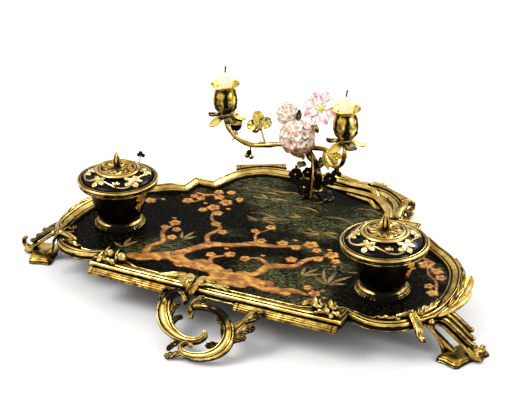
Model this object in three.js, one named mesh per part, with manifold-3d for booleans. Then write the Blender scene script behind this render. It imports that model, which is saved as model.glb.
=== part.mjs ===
// Desk inkstand: a lacquered tray in a gilt bronze mount on scroll feet, with two lidded
// ink pots and a branched candle holder dressed with porcelain flowers.
// Millimetres, +Z up. The origin lies on the ground under the middle of the whole part.
import * as THREE from "three";
import { mergeVertices } from "three/addons/utils/BufferGeometryUtils.js";
import Module from "manifold-3d";

const wasm = await Module();
wasm.setup();

// Driving dimensions
const CLEAR = 0.3; // gap between curved pieces that seat on each other
const OVERRUN = 5; // how far a cutting tool runs past what it cuts
const WELD = 1e-4; // points closer than this are one point
const TRAY = { halfWidth: 192, depth: 265, frontReach: 80, top: 34.3, thickness: 6 };
const RIM = { top: 40.8, bottom: 31, rebateShare: 0.45, panelShare: 0.5 };
const REED = { outreach: 6.5, top: 36, drop: 11, count: 4, fromShare: 0.135, toShare: 0.62 };
const BACK_REED = { outreach: 13, drop: 8, fromShare: 0.33, toShare: 0.6 };
const CLASP = { thickness: 1.8, seat: 0.95 };
const POT = { footRadius: 24, footHeight: 9.5, bodyRadius: 25, neckRadius: 28.5, height: 43, sides: 20 };
const LIP = { radius: 38, height: 6.4, bore: 26.8, seat: 3.5, lidBore: 33 };
const LINER = { wall: 1.6, flange: 30, flangeThickness: 1.5, floor: 15 };
const LID = { wall: 2, rise: 9.5, bossRadius: 20.8, bossHeight: 3.2, finialHeight: 16, finialRadius: 3.6 };
const STAND = { moundRadius: 16, moundHeight: 11, stud: 2.6 };
const STEM = { radius: 3.2, stalkRadius: 1.3 };
const BRANCH = { size: 100, radius: 2.7, knop: 5 }; // places in the branch are shares of its size
const CALYX = { height: 5, leaves: 5 };
const CUP = { radius: 11, height: 25, bore: 7.4, floor: 7, lobes: 6, lobeDepth: 0.7 };
const PAN = { radius: 14.2, height: 4.5, wall: 1.1 };
const CANDLE = { radius: 6.9, height: 35, wickRadius: 0.8, wickHeight: 7 };
const BLOOM = { ballRadius: 15, smallBallRadius: 10, lilyRadius: 16, petalThickness: 1.3 };
const FOOT = { reach: 46, thickness: 15, padHeight: 7, slotWidth: 3.6 };
const SCROLL = { span: 57.2, thickness: 8, lap: 1.4 }; // lap: how far it reaches up past the rim's underside

// Places on the tray, as shares of its half width and of its depth from the front.
const POTS = [
  { side: "left", placeShares: [-0.7276, 0.3219] },
  { side: "right", placeShares: [0.676, 0.2762] },
];
const standShares = [0.0203, 0.8343];
const SIDES = [
  { side: "left", sign: -1 },
  { side: "right", sign: 1 },
];

const GILT = { color: 0xd9a520, roughness: 0.28, metalness: 1 };
const LACQUER = { color: 0x14160f, roughness: 0.16, metalness: 0 };
const PORCELAIN = { color: 0xf6e4dc, roughness: 0.25, metalness: 0 };
const WAX = { color: 0xfaf5e4, roughness: 0.5, metalness: 0 };
const GLASS = { color: 0x2c3a3a, roughness: 0.08, metalness: 0 };
const COTTON = { color: 0x2a2320, roughness: 0.9, metalness: 0 };

const UP = new THREE.Vector3(0, 0, 1);
const BACK = new THREE.Vector3(0, 1, 0);
const v3 = (x, y, z) => new THREE.Vector3(x, y, z);

// Solids

function signedVolume(positions, triangles) {
  const a = v3(), b = v3(), c = v3();
  let sum = 0;
  for (let i = 0; i < triangles.length; i += 3) {
    a.fromArray(positions, triangles[i] * 3);
    b.fromArray(positions, triangles[i + 1] * 3);
    c.fromArray(positions, triangles[i + 2] * 3);
    sum += a.dot(b.cross(c));
  }
  return sum;
}

// A closed geometry as a solid with its faces pointing out.
function solid(geometry) {
  const bare = geometry.index ? geometry.toNonIndexed() : geometry.clone();
  bare.deleteAttribute("normal");
  bare.deleteAttribute("uv");
  const merged = mergeVertices(bare, WELD);
  const positions = merged.attributes.position.array;
  const corners = merged.index.array;
  const triangles = [];
  for (let i = 0; i < corners.length; i += 3) {
    const [a, b, c] = [corners[i], corners[i + 1], corners[i + 2]];
    if (a !== b && b !== c && c !== a) triangles.push(a, b, c);
  }
  if (signedVolume(positions, triangles) < 0) triangles.reverse();
  return new wasm.Manifold(
    new wasm.Mesh({
      numProp: 3,
      vertProperties: new Float32Array(positions),
      triVerts: new Uint32Array(triangles),
    }),
  );
}

const join = (solids) => solids.reduce((whole, next) => whole.add(next));

function geometryOf(body) {
  const { vertProperties, triVerts } = body.getMesh();
  const geometry = new THREE.BufferGeometry();
  geometry.setAttribute("position", new THREE.BufferAttribute(new Float32Array(vertProperties), 3));
  geometry.setIndex(new THREE.BufferAttribute(new Uint32Array(triVerts), 1));
  return geometry.toNonIndexed();
}

const assembly = new THREE.Group();

function piece(name, body, finish, parent = assembly) {
  const geometry = geometryOf(body);
  geometry.computeVertexNormals();
  const mesh = new THREE.Mesh(geometry, new THREE.MeshStandardMaterial(finish));
  mesh.name = name;
  parent.add(mesh);
  return mesh;
}

// Triangles of one flat end of a loft, turned the way the ring runs.
function capOf(ring) {
  const normal = v3();
  ring.forEach((p, i) => normal.add(p.clone().cross(ring[(i + 1) % ring.length])));
  normal.normalize();
  const across = Math.abs(normal.z) > 0.9 ? BACK.clone() : UP.clone();
  const u = across.cross(normal).normalize();
  const w = normal.clone().cross(u);
  const flat = ring.map((p) => new THREE.Vector2(p.dot(u), p.dot(w)));
  return THREE.ShapeUtils.triangulateShape(flat, []).map(([a, b, c]) => {
    const turn = flat[b].clone().sub(flat[a]).cross(flat[c].clone().sub(flat[a]));
    return turn < 0 ? [a, c, b] : [a, b, c];
  });
}

// Rings with equal counts of points joined one to the next, with flat ends unless it is a loop.
function loft(rings, loop = false) {
  const count = rings[0].length;
  const positions = rings.flat().flatMap((p) => [p.x, p.y, p.z]);
  const index = [];
  const last = loop ? rings.length : rings.length - 1;
  for (let r = 0; r < last; r++) {
    const here = r * count;
    const next = ((r + 1) % rings.length) * count;
    for (let k = 0; k < count; k++) {
      const m = (k + 1) % count;
      index.push(here + k, here + m, next + m, here + k, next + m, next + k);
    }
  }
  if (!loop) {
    const end = (rings.length - 1) * count;
    for (const [a, b, c] of capOf(rings[0])) index.push(a, c, b);
    for (const [a, b, c] of capOf(rings[rings.length - 1])) index.push(end + a, end + b, end + c);
  }
  const geometry = new THREE.BufferGeometry();
  geometry.setAttribute("position", new THREE.Float32BufferAttribute(positions, 3));
  geometry.setIndex(index);
  return solid(geometry);
}

// Sections across a sweep, as shares of its half width and half thickness.
const ovalShares = (sides) =>
  Array.from({ length: sides }, (_, i) => {
    const angle = (2 * Math.PI * i) / sides;
    return [Math.cos(angle), Math.sin(angle)];
  });
const scrollShares = [
  [1, 0], [0.74, 0.85], [0.3, 0.45], [-0.15, 1], [-0.7, 0.8], [-1, 0], [-0.6, -0.8], [0.6, -0.8],
];
const leafShares = [[1, 0], [0.3, 0.7], [-0.3, 0.7], [-1, 0], [0, -0.6]];
const petalShares = [[1, 0], [0, 1], [-1, 0], [0, -0.5]];

// Sweeps a section along a curve. Each point of the route has its own half width.
function sweep(route, halfWidths, halfThickness, shares, steps, reference) {
  const curve = new THREE.CatmullRomCurve3(route, false, "centripetal");
  const rings = [];
  for (let i = 0; i <= steps; i++) {
    const t = i / steps;
    const place = t * (halfWidths.length - 1);
    const low = Math.min(Math.floor(place), halfWidths.length - 2);
    const half = THREE.MathUtils.lerp(halfWidths[low], halfWidths[low + 1], place - low);
    const tangent = curve.getTangent(t);
    const side = reference.clone().cross(tangent).normalize();
    const lift = tangent.clone().cross(side).normalize();
    const centre = curve.getPoint(t);
    rings.push(shares.map(([a, b]) =>
      centre.clone().addScaledVector(side, a * half).addScaledVector(lift, b * halfThickness)));
  }
  return loft(rings);
}

const rod = (route, radius, sides, steps, reference) =>
  sweep(route, [radius, radius], radius, ovalShares(sides), steps, reference);

// A turned piece about +Z. The ripple, if any, changes the radius with the angle.
function turned(profile, segments, ripple = null) {
  const points = profile.map(([r, z]) => new THREE.Vector2(r, z));
  const geometry = new THREE.LatheGeometry(points, segments).rotateX(Math.PI / 2);
  if (ripple) {
    const place = geometry.attributes.position;
    for (let i = 0; i < place.count; i++) {
      const [x, y] = [place.getX(i), place.getY(i)];
      const radius = Math.hypot(x, y);
      if (radius === 0) continue;
      const grown = (radius + ripple(Math.atan2(y, x), radius, place.getZ(i))) / radius;
      place.setXY(i, x * grown, y * grown);
    }
  }
  return solid(geometry);
}

function ball(radius, centre, sides) {
  return solid(new THREE.SphereGeometry(radius, sides, sides / 2).translate(centre.x, centre.y, centre.z));
}

// Tray outline: outer x and y, inner x and y of the rim, from the middle of the front to
// the middle of the back, as shares of the half width and of the depth.
const frontShares = [[0, 0, 0, 0.049], [0.448, 0.004, 0.406, 0.057], [0.628, 0.008, 0.542, 0.102]];
const returnShares = [[0.628, 0.008, 0.542, 0.102], [0.628, 0.068, 0.578, 0.109]];
const lobeShares = [
  [0.628, 0.068, 0.578, 0.109], [0.667, 0.057, 0.651, 0.1], [0.729, 0.045, 0.7, 0.091],
  [0.802, 0.053, 0.771, 0.094], [0.865, 0.079, 0.818, 0.113], [0.922, 0.128, 0.859, 0.147],
  [0.969, 0.177, 0.901, 0.185], [0.992, 0.245, 0.927, 0.245], [1, 0.338, 0.932, 0.342],
  [0.979, 0.43, 0.917, 0.415], [0.943, 0.502, 0.885, 0.483], [0.87, 0.57, 0.828, 0.54],
  [0.786, 0.619, 0.755, 0.585], [0.703, 0.672, 0.677, 0.626], [0.635, 0.675, 0.594, 0.649],
];
const stepShares = [[0.635, 0.675, 0.594, 0.649], [0.628, 0.755, 0.583, 0.721], [0.521, 0.753, 0.484, 0.719]];
const archShares = [
  [0.521, 0.753, 0.484, 0.719], [0.505, 0.808, 0.461, 0.781], [0.469, 0.875, 0.417, 0.853],
  [0.349, 0.951, 0.323, 0.909], [0.18, 0.974, 0.177, 0.921], [0.083, 0.992, 0.078, 0.938],
  [0, 1, 0, 0.943],
];

const placed = (xShare, yShare) =>
  new THREE.Vector2(xShare * TRAY.halfWidth, yShare * TRAY.depth - TRAY.frontReach);
const onTray = ([xShare, yShare]) => v3(...placed(xShare, yShare).toArray(), TRAY.top);
const standFoot = onTray(standShares);
const stationsOf = (rows) =>
  rows.map(([ox, oy, ix, iy]) => ({ outer: placed(ox, oy), inner: placed(ix, iy) }));

function smooth(rows, perStep) {
  const stations = stationsOf(rows);
  const outer = new THREE.SplineCurve(stations.map((s) => s.outer));
  const inner = new THREE.SplineCurve(stations.map((s) => s.inner));
  const count = (rows.length - 1) * perStep;
  return Array.from({ length: count + 1 }, (_, i) => ({
    outer: outer.getPoint(i / count),
    inner: inner.getPoint(i / count),
  }));
}

const flip = (point) => new THREE.Vector2(-point.x, point.y);
const mirrored = (stations) =>
  stations.map((s) => ({ outer: flip(s.outer), inner: flip(s.inner) })).reverse();
const front = stationsOf(frontShares);
const lobe = [...stationsOf(returnShares), ...smooth(lobeShares, 2).slice(1)];
const step = stationsOf(stepShares);
const arch = smooth(archShares, 2);
const across = (half) => [...mirrored(half), ...half.slice(1)];
const wholeArch = [...arch, ...mirrored(arch).slice(1)];

// Rim moulding from the outer skirt over the crown to the inner bead, as a share of the
// band's width and a height.
const rise = (share) => THREE.MathUtils.lerp(TRAY.top, RIM.top, share);
const crownShares = [[1, 0.3], [0.9, 0.62], [0.8, 0.42], [0.5, 0.58], [0.28, 0.84], [0.12, 1], [0, 0.7]];
const crown = crownShares.map(([u, share]) => [u, rise(share)]);
const moulding = [
  [0, RIM.bottom], [RIM.rebateShare, RIM.bottom], [RIM.rebateShare, TRAY.top], [1, TRAY.top],
  ...crown, [0.05, rise(0.2)],
];

const between = (station, u, z) => {
  const point = station.outer.clone().lerp(station.inner, u);
  return v3(point.x, point.y, z);
};
const rail = (stations) => loft(stations.map((s) => moulding.map(([u, z]) => between(s, u, z))));

// Everything inside the rim's outer edge, with clearance, to cut what stands against it.
const insideRim = (stations) =>
  loft(stations.map((station) => {
    const reach = -CLEAR / station.outer.distanceTo(station.inner);
    return [[reach, -OVERRUN], [1, -OVERRUN], [1, OVERRUN], [reach, OVERRUN]].map(([u, over]) =>
      between(station, u, over + (over < 0 ? RIM.bottom : RIM.top)));
  }));

function makeRim() {
  piece("rim_front", rail(across(front)), GILT);
  piece("rim_arch", rail(wholeArch), GILT);
  for (const { side, sign } of SIDES) {
    const turn = (stations) => (sign > 0 ? stations : mirrored(stations));
    piece(`rim_lobe_${side}`, rail(turn(lobe)), GILT);
    piece(`rim_step_${side}`, rail(turn(step)), GILT);
  }
}

const studHole = () => {
  const hole = new THREE.Path();
  hole.absarc(standFoot.x, standFoot.y, STAND.stud + CLEAR, 0, 2 * Math.PI, true);
  return hole;
};

function makePanel() {
  const half = [...front, ...lobe.slice(1), ...step.slice(1), ...arch.slice(1)];
  const outline = [...half, ...mirrored(half).slice(1, -1)];
  const shape = new THREE.Shape(outline.map((s) => s.outer.clone().lerp(s.inner, RIM.panelShare)));
  shape.holes.push(studHole());
  const slab = new THREE.ExtrudeGeometry(shape, {
    depth: TRAY.thickness, bevelEnabled: false, curveSegments: 8,
  }).translate(0, 0, TRAY.top - TRAY.thickness);
  piece("tray_panel", solid(slab), LACQUER);
}

// A bar of parallel reeds with a flat back, along the x axis: depth across, height up.
function reedSection(depth, top, drop, count) {
  const points = [[0, top]];
  for (let i = 0; i < count; i++) {
    const crest = (angleShare) => {
      const angle = angleShare * Math.PI;
      return [Math.sin(angle), Math.cos(angle)];
    };
    const [outA, upA] = crest((i + 0.5) / count);
    const [outB, upB] = crest((i + 1) / count);
    const dip = 0.86;
    points.push([depth * Math.max(outA, 0.35), top - (drop * (1 - upA)) / 2]);
    if (i < count - 1) points.push([depth * Math.max(outB, 0.35) * dip, top - (drop * (1 - upB)) / 2]);
  }
  points.push([0, top - drop]);
  return points;
}

function makeReedBars() {
  const section = reedSection(REED.outreach, REED.top, REED.drop, REED.count);
  for (const { side, sign } of SIDES) {
    const rings = [REED.fromShare, (REED.fromShare + REED.toShare) / 2, REED.toShare].map((share) => {
      const edge = placed(share, (share / frontShares[1][0]) * frontShares[1][1]);
      return section.map(([out, z]) => v3(sign * edge.x, edge.y - CLEAR - out, z));
    });
    piece(`reed_bar_front_${side}`, loft(rings), GILT);
  }
  const backSection = reedSection(BACK_REED.outreach, RIM.top, BACK_REED.drop, REED.count);
  for (const { side, sign } of SIDES) {
    const run = smooth(archShares, 6);
    const from = run[Math.round(BACK_REED.fromShare * (run.length - 1))].outer;
    const to = run[Math.round(BACK_REED.toShare * (run.length - 1))].outer;
    const along = to.clone().sub(from).normalize();
    const rings = [from, to].map((end) =>
      backSection.map(([depth, z]) => v3(sign * (end.x + along.y * depth), end.y - along.x * depth, z)),
    );
    piece(`reed_block_back_${side}`, loft(rings).subtract(insideRim(wholeArch)), GILT);
  }
}

// The moulding's outer face and crown, raised by a distance, as a function of a share of its run.
function raisedFace(band, raise) {
  const line = [[0, RIM.bottom], [0, rise(0.2)], ...[...crown].reverse()].map(
    ([u, z]) => new THREE.Vector2(u * band, z));
  const raised = line.map((point, i) => {
    const before = line[Math.max(i - 1, 0)];
    const after = line[Math.min(i + 1, line.length - 1)];
    const along = after.clone().sub(before).normalize();
    return point.clone().add(new THREE.Vector2(-along.y, along.x).multiplyScalar(raise));
  });
  return (share) => {
    const place = THREE.MathUtils.clamp(share, 0, 1) * (raised.length - 1);
    const low = Math.min(Math.floor(place), raised.length - 2);
    return raised[low].clone().lerp(raised[low + 1], place - low);
  };
}

// The rim itself with clearance all over its face, to cut what folds over it.
const faceClearance = (stations) =>
  loft(stations.map((station) => {
    const band = station.outer.distanceTo(station.inner);
    const face = raisedFace(band, CLEAR);
    const knots = Array.from({ length: crown.length + 2 }, (_, k) => face(k / (crown.length + 1)));
    return [...knots, new THREE.Vector2(band, RIM.bottom)].map(({ x, y }) => between(station, x / band, y));
  }));

// A leaf clasp that folds over the rim and narrows to a point each way.
function clasp(stations, from, to) {
  return loft(stations.map((station, index) => {
    const swell = Math.sin((Math.PI * index) / (stations.length - 1));
    const band = station.outer.distanceTo(station.inner);
    const [low, high] = [from, to].map((end) => THREE.MathUtils.lerp(0.5, end, 0.3 + 0.7 * swell));
    const faces = [CLASP.seat, CLASP.seat + CLASP.thickness * (0.5 + 0.5 * swell)].map((raise) => {
      const face = raisedFace(band, raise);
      return [0, 1, 2, 3, 4, 5, 6, 7, 8].map((k) => face(THREE.MathUtils.lerp(low, high, k / 8)));
    });
    return [...faces[0], ...faces[1].reverse()].map(({ x, y }) => between(station, x / band, y));
  })).subtract(faceClearance(stations));
}

function makeClasps() {
  const centre = across(front.slice(0, 2));
  const along = (from, to, count) =>
    Array.from({ length: count }, (_, i) => {
      const t = THREE.MathUtils.lerp(from, to, i / (count - 1));
      const [a, b] = t < 0 ? [centre[0], centre[1]] : [centre[1], centre[2]];
      const k = t < 0 ? t + 1 : t;
      return { outer: a.outer.clone().lerp(b.outer, k), inner: a.inner.clone().lerp(b.inner, k) };
    });
  piece("clasp_center", clasp(along(-0.36, 0.12, 7), 0.3, 1), GILT);
  const part = (fromShare, toShare) =>
    lobe.slice(Math.round(fromShare * lobe.length), Math.round(toShare * lobe.length));
  for (const { side, sign } of SIDES) {
    const turn = (stations) => (sign > 0 ? stations : mirrored(stations));
    const corner = [0.18, 0.34, 0.5, 0.66, 0.82].map((t) => {
      const [a, b] = [front[1], front[2]];
      return { outer: a.outer.clone().lerp(b.outer, t), inner: a.inner.clone().lerp(b.inner, t) };
    });
    piece(`clasp_corner_${side}`, clasp(turn(corner), 0.3, 1), GILT);
    piece(`clasp_foot_${side}`, clasp(turn(part(0.3, 0.47)), 0, 1), GILT);
    piece(`clasp_end_${side}`, clasp(turn(part(0.54, 0.71)), 0, 0.9), GILT);
  }
}

// Side foot in its own frame: x runs outward from its root under the rim, y along its pad.
const bracketShares = [
  [0, 1], [0, 0.89], [-0.2, 0.89], [-0.1, 0.72], [0.03, 0.52], [0.13, 0.28], [0.19, 0],
  [1, 0], [1, 0.12], [0.97, 0.3], [0.9, 0.36], [0.85, 0.27], [0.78, 0.26], [0.66, 0.4], [0.5, 0.62],
  [0.34, 0.82], [0.2, 1],
];
const slotShares = [[0.09, 0.78], [0.56, 0.24]];
const padShares = [[0.2, -0.26], [0.6, -0.37], [1, 0.29], [0.56, 0.41]];

function sideFoot() {
  const at = ([r, z]) => new THREE.Vector2(r * FOOT.reach, z * RIM.bottom);
  const shape = new THREE.Shape(bracketShares.map(at));
  const [high, low] = slotShares.map(at);
  const lean = Math.atan2(low.y - high.y, low.x - high.x);
  const slot = new THREE.Path();
  slot.absarc(high.x, high.y, FOOT.slotWidth / 2, lean + Math.PI / 2, lean + (3 * Math.PI) / 2, false);
  slot.absarc(low.x, low.y, FOOT.slotWidth / 2, lean - Math.PI / 2, lean + Math.PI / 2, false);
  shape.holes.push(slot);
  const plate = new THREE.ExtrudeGeometry(shape, {
    depth: FOOT.thickness, bevelEnabled: false, curveSegments: 4,
  }).translate(0, 0, -FOOT.thickness / 2).rotateX(Math.PI / 2);
  const middle = v3(0.59 * FOOT.reach, 0, 0);
  const corners = padShares.map(([r, y]) => v3(r * FOOT.reach, y * FOOT.reach, 0));
  const flare = [[1, 0], [0.96, 0.18], [0.66, 0.45], [0.5, 1]];
  const pad = loft(flare.map(([size, height]) =>
    corners.map((corner) => middle.clone().lerp(corner, size).setZ(height * FOOT.padHeight))));
  const leafRoute = [[0.3, 0.86], [0.44, 0.74], [0.6, 0.56], [0.72, 0.46], [0.8, 0.5]];
  const leaf = sweep(
    leafRoute.map(([r, z]) => v3(r * FOOT.reach, 0, z * RIM.bottom)),
    [0.11, 0.15, 0.14, 0.1, 0.04].map((share) => share * FOOT.reach),
    FOOT.thickness * 0.16, leafShares, 8, UP);
  return join([solid(plate), pad, leaf]);
}

function makeSideFeet() {
  const shape = sideFoot();
  for (const { side, sign } of SIDES) {
    const foot = piece(`foot_${side}`, shape, GILT);
    foot.scale.x = sign;
    foot.position.set(sign * 0.958 * TRAY.halfWidth, 0.196 * TRAY.depth - TRAY.frontReach, 0);
    const turn = new THREE.Group();
    turn.scale.x = sign;
    assembly.add(turn);
    const backFoot = piece(`foot_back_${side}`, shape, GILT, turn);
    backFoot.position.set(0.33 * TRAY.halfWidth, 0.935 * TRAY.depth - TRAY.frontReach, 0);
    backFoot.rotation.z = Math.PI * 0.36;
  }
}

// Front foot: two opposed scrolls in one plane that leans out from the rim to the ground.
// The rows are the place across and down that plane and the half width, as shares of its span.
const upperScrollShares = [
  [-0.28, 0.02, 0.03], [-0.38, -0.07, 0.035], [-0.49, -0.1, 0.04], [-0.585, -0.05, 0.05],
  [-0.63, 0.07, 0.062], [-0.61, 0.21, 0.075], [-0.54, 0.34, 0.08], [-0.44, 0.455, 0.078],
  [-0.3, 0.54, 0.07], [-0.14, 0.595, 0.062], [0, 0.603, 0.05], [0.12, 0.568, 0.042],
  [0.19, 0.49, 0.032], [0.166, 0.42, 0.022],
];
const lowerScrollShares = [
  [-0.12, 0.06, 0.035], [0.035, 0.026, 0.045], [0.175, 0.03, 0.045], [0.315, 0.08, 0.05],
  [0.44, 0.175, 0.06], [0.525, 0.3, 0.075], [0.565, 0.44, 0.09], [0.54, 0.58, 0.09],
  [0.463, 0.7, 0.075], [0.33, 0.787, 0.062], [0.175, 0.83, 0.052], [0.035, 0.83, 0.046],
  [-0.06, 0.78, 0.042], [-0.08, 0.7, 0.036], [-0.017, 0.647, 0.03], [0.06, 0.673, 0.02],
];
const frondShares = [
  [[0.56, 0.3, 0.06], [0.66, 0.16, 0.075], [0.76, 0.02, 0.07], [0.86, -0.08, 0.05], [0.94, -0.07, 0.02]],
  [[0.6, 0.36, 0.06], [0.7, 0.26, 0.055], [0.8, 0.2, 0.05], [0.89, 0.19, 0.02]],
  [[-0.44, 0.42, 0.03], [-0.49, 0.28, 0.045], [-0.5, 0.16, 0.04], [-0.47, 0.06, 0.018]],
  [[0.46, 0.42, 0.03], [0.42, 0.28, 0.035], [0.35, 0.19, 0.03], [0.28, 0.16, 0.014]],
  [[-0.02, 0.8, 0.03], [-0.1, 0.86, 0.04], [-0.17, 0.92, 0.035], [-0.22, 0.96, 0.015]],
  [[-0.12, 0.2, 0.025], [-0.14, 0.08, 0.07], [-0.1, -0.06, 0.08], [-0.04, -0.16, 0.04]],
];

function makeScrollFoot() {
  const top = RIM.bottom + SCROLL.lap;
  const runOut = Math.sqrt(SCROLL.span ** 2 - top ** 2);
  const down = v3(0, -runOut, -top).normalize();
  const normal = v3(1, 0, 0).cross(down).normalize();
  const place = ([s, t]) =>
    v3(s * SCROLL.span, -TRAY.frontReach - 2 * REED.outreach, top).addScaledVector(down, t * SCROLL.span);
  const run = (rows, thickness, shares, steps) =>
    sweep(rows.map(place), rows.map((row) => row[2] * SCROLL.span), thickness, shares, steps, normal);
  const fronds = frondShares.map((rows) =>
    run(rows, SCROLL.thickness * 0.24, leafShares, 4));
  const lugTop = TRAY.top - TRAY.thickness - CLEAR;
  const [lugWidth, lugDepth, lugHeight] = [0.42, 0.34, 0.1].map((share) => share * SCROLL.span);
  const lug = new THREE.BoxGeometry(lugWidth, lugDepth, lugHeight).translate(
    -0.1 * SCROLL.span, -TRAY.frontReach - 0.07 * SCROLL.span, lugTop - lugHeight / 2);
  const whole = join([
    run(upperScrollShares, SCROLL.thickness / 2, scrollShares, 20),
    run(lowerScrollShares, SCROLL.thickness / 2, scrollShares, 24),
    ...fronds,
    solid(lug),
  ]);
  const underground = new THREE.BoxGeometry(4 * SCROLL.span, 4 * SCROLL.span, 2 * OVERRUN).translate(
    0, -TRAY.frontReach, -OVERRUN);
  piece("foot_front_scroll", whole.subtract(solid(underground)), GILT);
}

// Ink pots: every part is turned about the pot's own axis, from the tray's top up.
const bead = (count, depth) => (angle) => depth * Math.cos(count * angle);

function potFoot() {
  const { footRadius: r, footHeight: h } = POT;
  const gadroons = (angle, radius) => (radius > 0.9 * r ? bead(16, 0.02 * r)(angle) : 0);
  const outline = [[0, 0], [0.97 * r, 0], [1.02 * r, 0.16 * h], [r, 0.36 * h], [0.88 * r, 0.5 * h],
    [0.83 * r, 0.74 * h], [0.88 * r, h], [0, h]];
  return turned(outline, 32, gadroons);
}

const bellShares = [[0.82, 0], [0.89, 0.16], [0.96, 0.5], [1.04, 0.78], [1.14, 1]];

function potBody() {
  const bell = POT.height - POT.footHeight;
  const outer = bellShares.map(([r, z]) => [r * POT.bodyRadius, POT.footHeight + z * bell]);
  const wall = POT.neckRadius - LIP.bore;
  const floor = LINER.floor - 1.2 * wall;
  const inner = outer.map(([r, z]) => [r - wall, Math.max(z, floor)]);
  return turned([[0, POT.footHeight], ...outer, ...inner.reverse(), [0, floor]], POT.sides);
}

const seatHeight = POT.height + LIP.seat;

function potLip() {
  const { radius: r, height: h, bore, lidBore } = LIP;
  const z = (share) => POT.height + share * h;
  const outline = [[bore, z(0)], [0.84 * r, z(0)], [0.92 * r, z(0.1)], [0.98 * r, z(0.3)], [r, z(0.52)],
    [0.98 * r, z(0.72)], [0.945 * r, z(0.76)], [0.925 * r, z(0.93)], [0.89 * r, z(1)], [lidBore, z(0.84)],
    [lidBore, seatHeight], [bore, seatHeight]];
  return turned([...outline, outline[0]], POT.sides);
}

function potLiner() {
  const { wall, flange, flangeThickness, floor } = LINER;
  const outer = bellShares.map(([r, z]) => [
    r * POT.bodyRadius - (POT.neckRadius - LIP.bore) - 2 * CLEAR,
    THREE.MathUtils.lerp(floor, POT.height, z)]);
  const inner = outer.map(([r, z]) => [r - wall, z + wall]).reverse();
  const lipRadius = LIP.bore - 2 * CLEAR;
  const crest = seatHeight + flangeThickness;
  const neck = [[lipRadius, POT.height], [lipRadius, seatHeight], [flange, seatHeight], [flange, crest],
    [lipRadius - wall, crest]];
  const inside = [...inner.slice(1), [0, floor + wall]];
  return turned([[0, floor], ...outer.slice(0, -1), ...neck, ...inside], POT.sides);
}

const lidEdge = LIP.lidBore - CLEAR;
const lidTop = seatHeight + LID.rise;
const domeShares = [[1, 0.26], [0.94, 0.44], [0.82, 0.66], [0.64, 0.94], [0.6, 1]];

function lidShell() {
  const over = LINER.flange + CLEAR;
  const dome = domeShares.map(([r, z]) => [r * lidEdge, seatHeight + z * LID.rise]);
  const under = [[0, lidTop - LID.wall], [0.6 * over, lidTop - 1.15 * LID.wall],
    [over, seatHeight + LINER.flangeThickness + CLEAR], [over, seatHeight], [lidEdge, seatHeight]];
  return turned([...under, ...dome, [0, lidTop]], POT.sides);
}

function lidFinial() {
  const { bossRadius: r, bossHeight: h, finialHeight: top, finialRadius: bud } = LID;
  const z = (height) => lidTop + height;
  const disc = [[0, z(0)], [r, z(0)], [1.01 * r, z(0.3 * h)], [0.93 * r, z(0.75 * h)], [0.8 * r, z(0.5 * h)],
    [0.45 * r, z(0.75 * h)], [0.2 * r, z(h)]];
  const tip = [[0.5 * bud, z(1.5 * h)], [bud, z(0.45 * top)], [0.86 * bud, z(0.65 * top)], [0, z(top)]];
  return turned([...disc, ...tip], 12);
}

// Leafy garland laid on the lid's dome: a ring whose width and height swell at each leaf.
function lidGarland() {
  const leaves = 7;
  const stations = 28;
  const slope = (domeShares[3][1] - domeShares[1][1]) / (domeShares[1][0] - domeShares[3][0]);
  const ringRadius = 0.8 * lidEdge;
  const height = (radius) => {
    const share = radius / lidEdge;
    const rows = domeShares;
    const k = rows.findIndex(([r]) => share >= r);
    const [[r0, z0], [r1, z1]] = [rows[Math.max(k - 1, 0)], rows[Math.max(k, 1)]];
    return seatHeight + LID.rise * THREE.MathUtils.mapLinear(share, r0, r1, z0, z1);
  };
  const rings = Array.from({ length: stations }, (_, i) => {
    const angle = (2 * Math.PI * i) / stations;
    const swell = 0.5 + 0.5 * Math.sin(leaves * angle);
    const sway = 0.03 * lidEdge * Math.sin(3 * angle);
    const half = (0.035 + 0.06 * swell) * lidEdge;
    const thick = 0.5 * CLASP.thickness * (0.7 + swell);
    return [[-1, 0], [-0.5, 1], [0.5, 0.8], [1, 0]].map(([u, v]) => {
      const radius = ringRadius + sway + u * half;
      return v3(radius * Math.cos(angle), radius * Math.sin(angle),
        height(radius) + CLEAR * (1 + slope / 2) + v * thick);
    });
  });
  return loft(rings, true);
}

function makePots() {
  for (const { side, placeShares } of POTS) {
    const pot = new THREE.Group();
    pot.position.copy(onTray(placeShares));
    assembly.add(pot);
    piece(`pot_foot_${side}`, potFoot(), GILT, pot);
    piece(`pot_body_${side}`, potBody(), LACQUER, pot);
    piece(`pot_lip_${side}`, potLip(), GILT, pot);
    piece(`pot_liner_${side}`, potLiner(), GLASS, pot);
    piece(`lid_shell_${side}`, lidShell(), LACQUER, pot);
    piece(`lid_finial_${side}`, lidFinial(), GILT, pot);
    piece(`lid_garland_${side}`, lidGarland(), GILT, pot);
  }
}

// Candle branch. Places are shares of its size, from the stem's foot on the tray's top.
const fromStem = ([x, y, z]) => standFoot.clone().addScaledVector(v3(x, y, z), BRANCH.size);
const knopCentre = fromStem([-0.08, -0.04, 0.53]);
const CUPS = [
  { side: "left", seat: [-0.89, -0.21, 0.77] },
  { side: "right", seat: [0.411, -0.31, 0.77] },
];
const armShares = {
  left: [[-0.1, -0.04, 0.53], [-0.35, -0.08, 0.53], [-0.51, -0.12, 0.505], [-0.655, -0.15, 0.497],
    [-0.79, -0.19, 0.567], [-0.87, -0.2, 0.67], [-0.89, -0.21, 0.73]],
  right: [[-0.06, -0.05, 0.54], [0.14, -0.11, 0.57], [0.21, -0.155, 0.51], [0.285, -0.215, 0.475],
    [0.37, -0.27, 0.54], [0.41, -0.31, 0.66], [0.411, -0.31, 0.73]],
};

// The arm's route, up to just under the calyx that it carries.
const armRoute = ({ side, seat }) =>
  [...armShares[side].map(fromStem), fromStem(seat).sub(v3(0, 0, CLEAR))];

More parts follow.
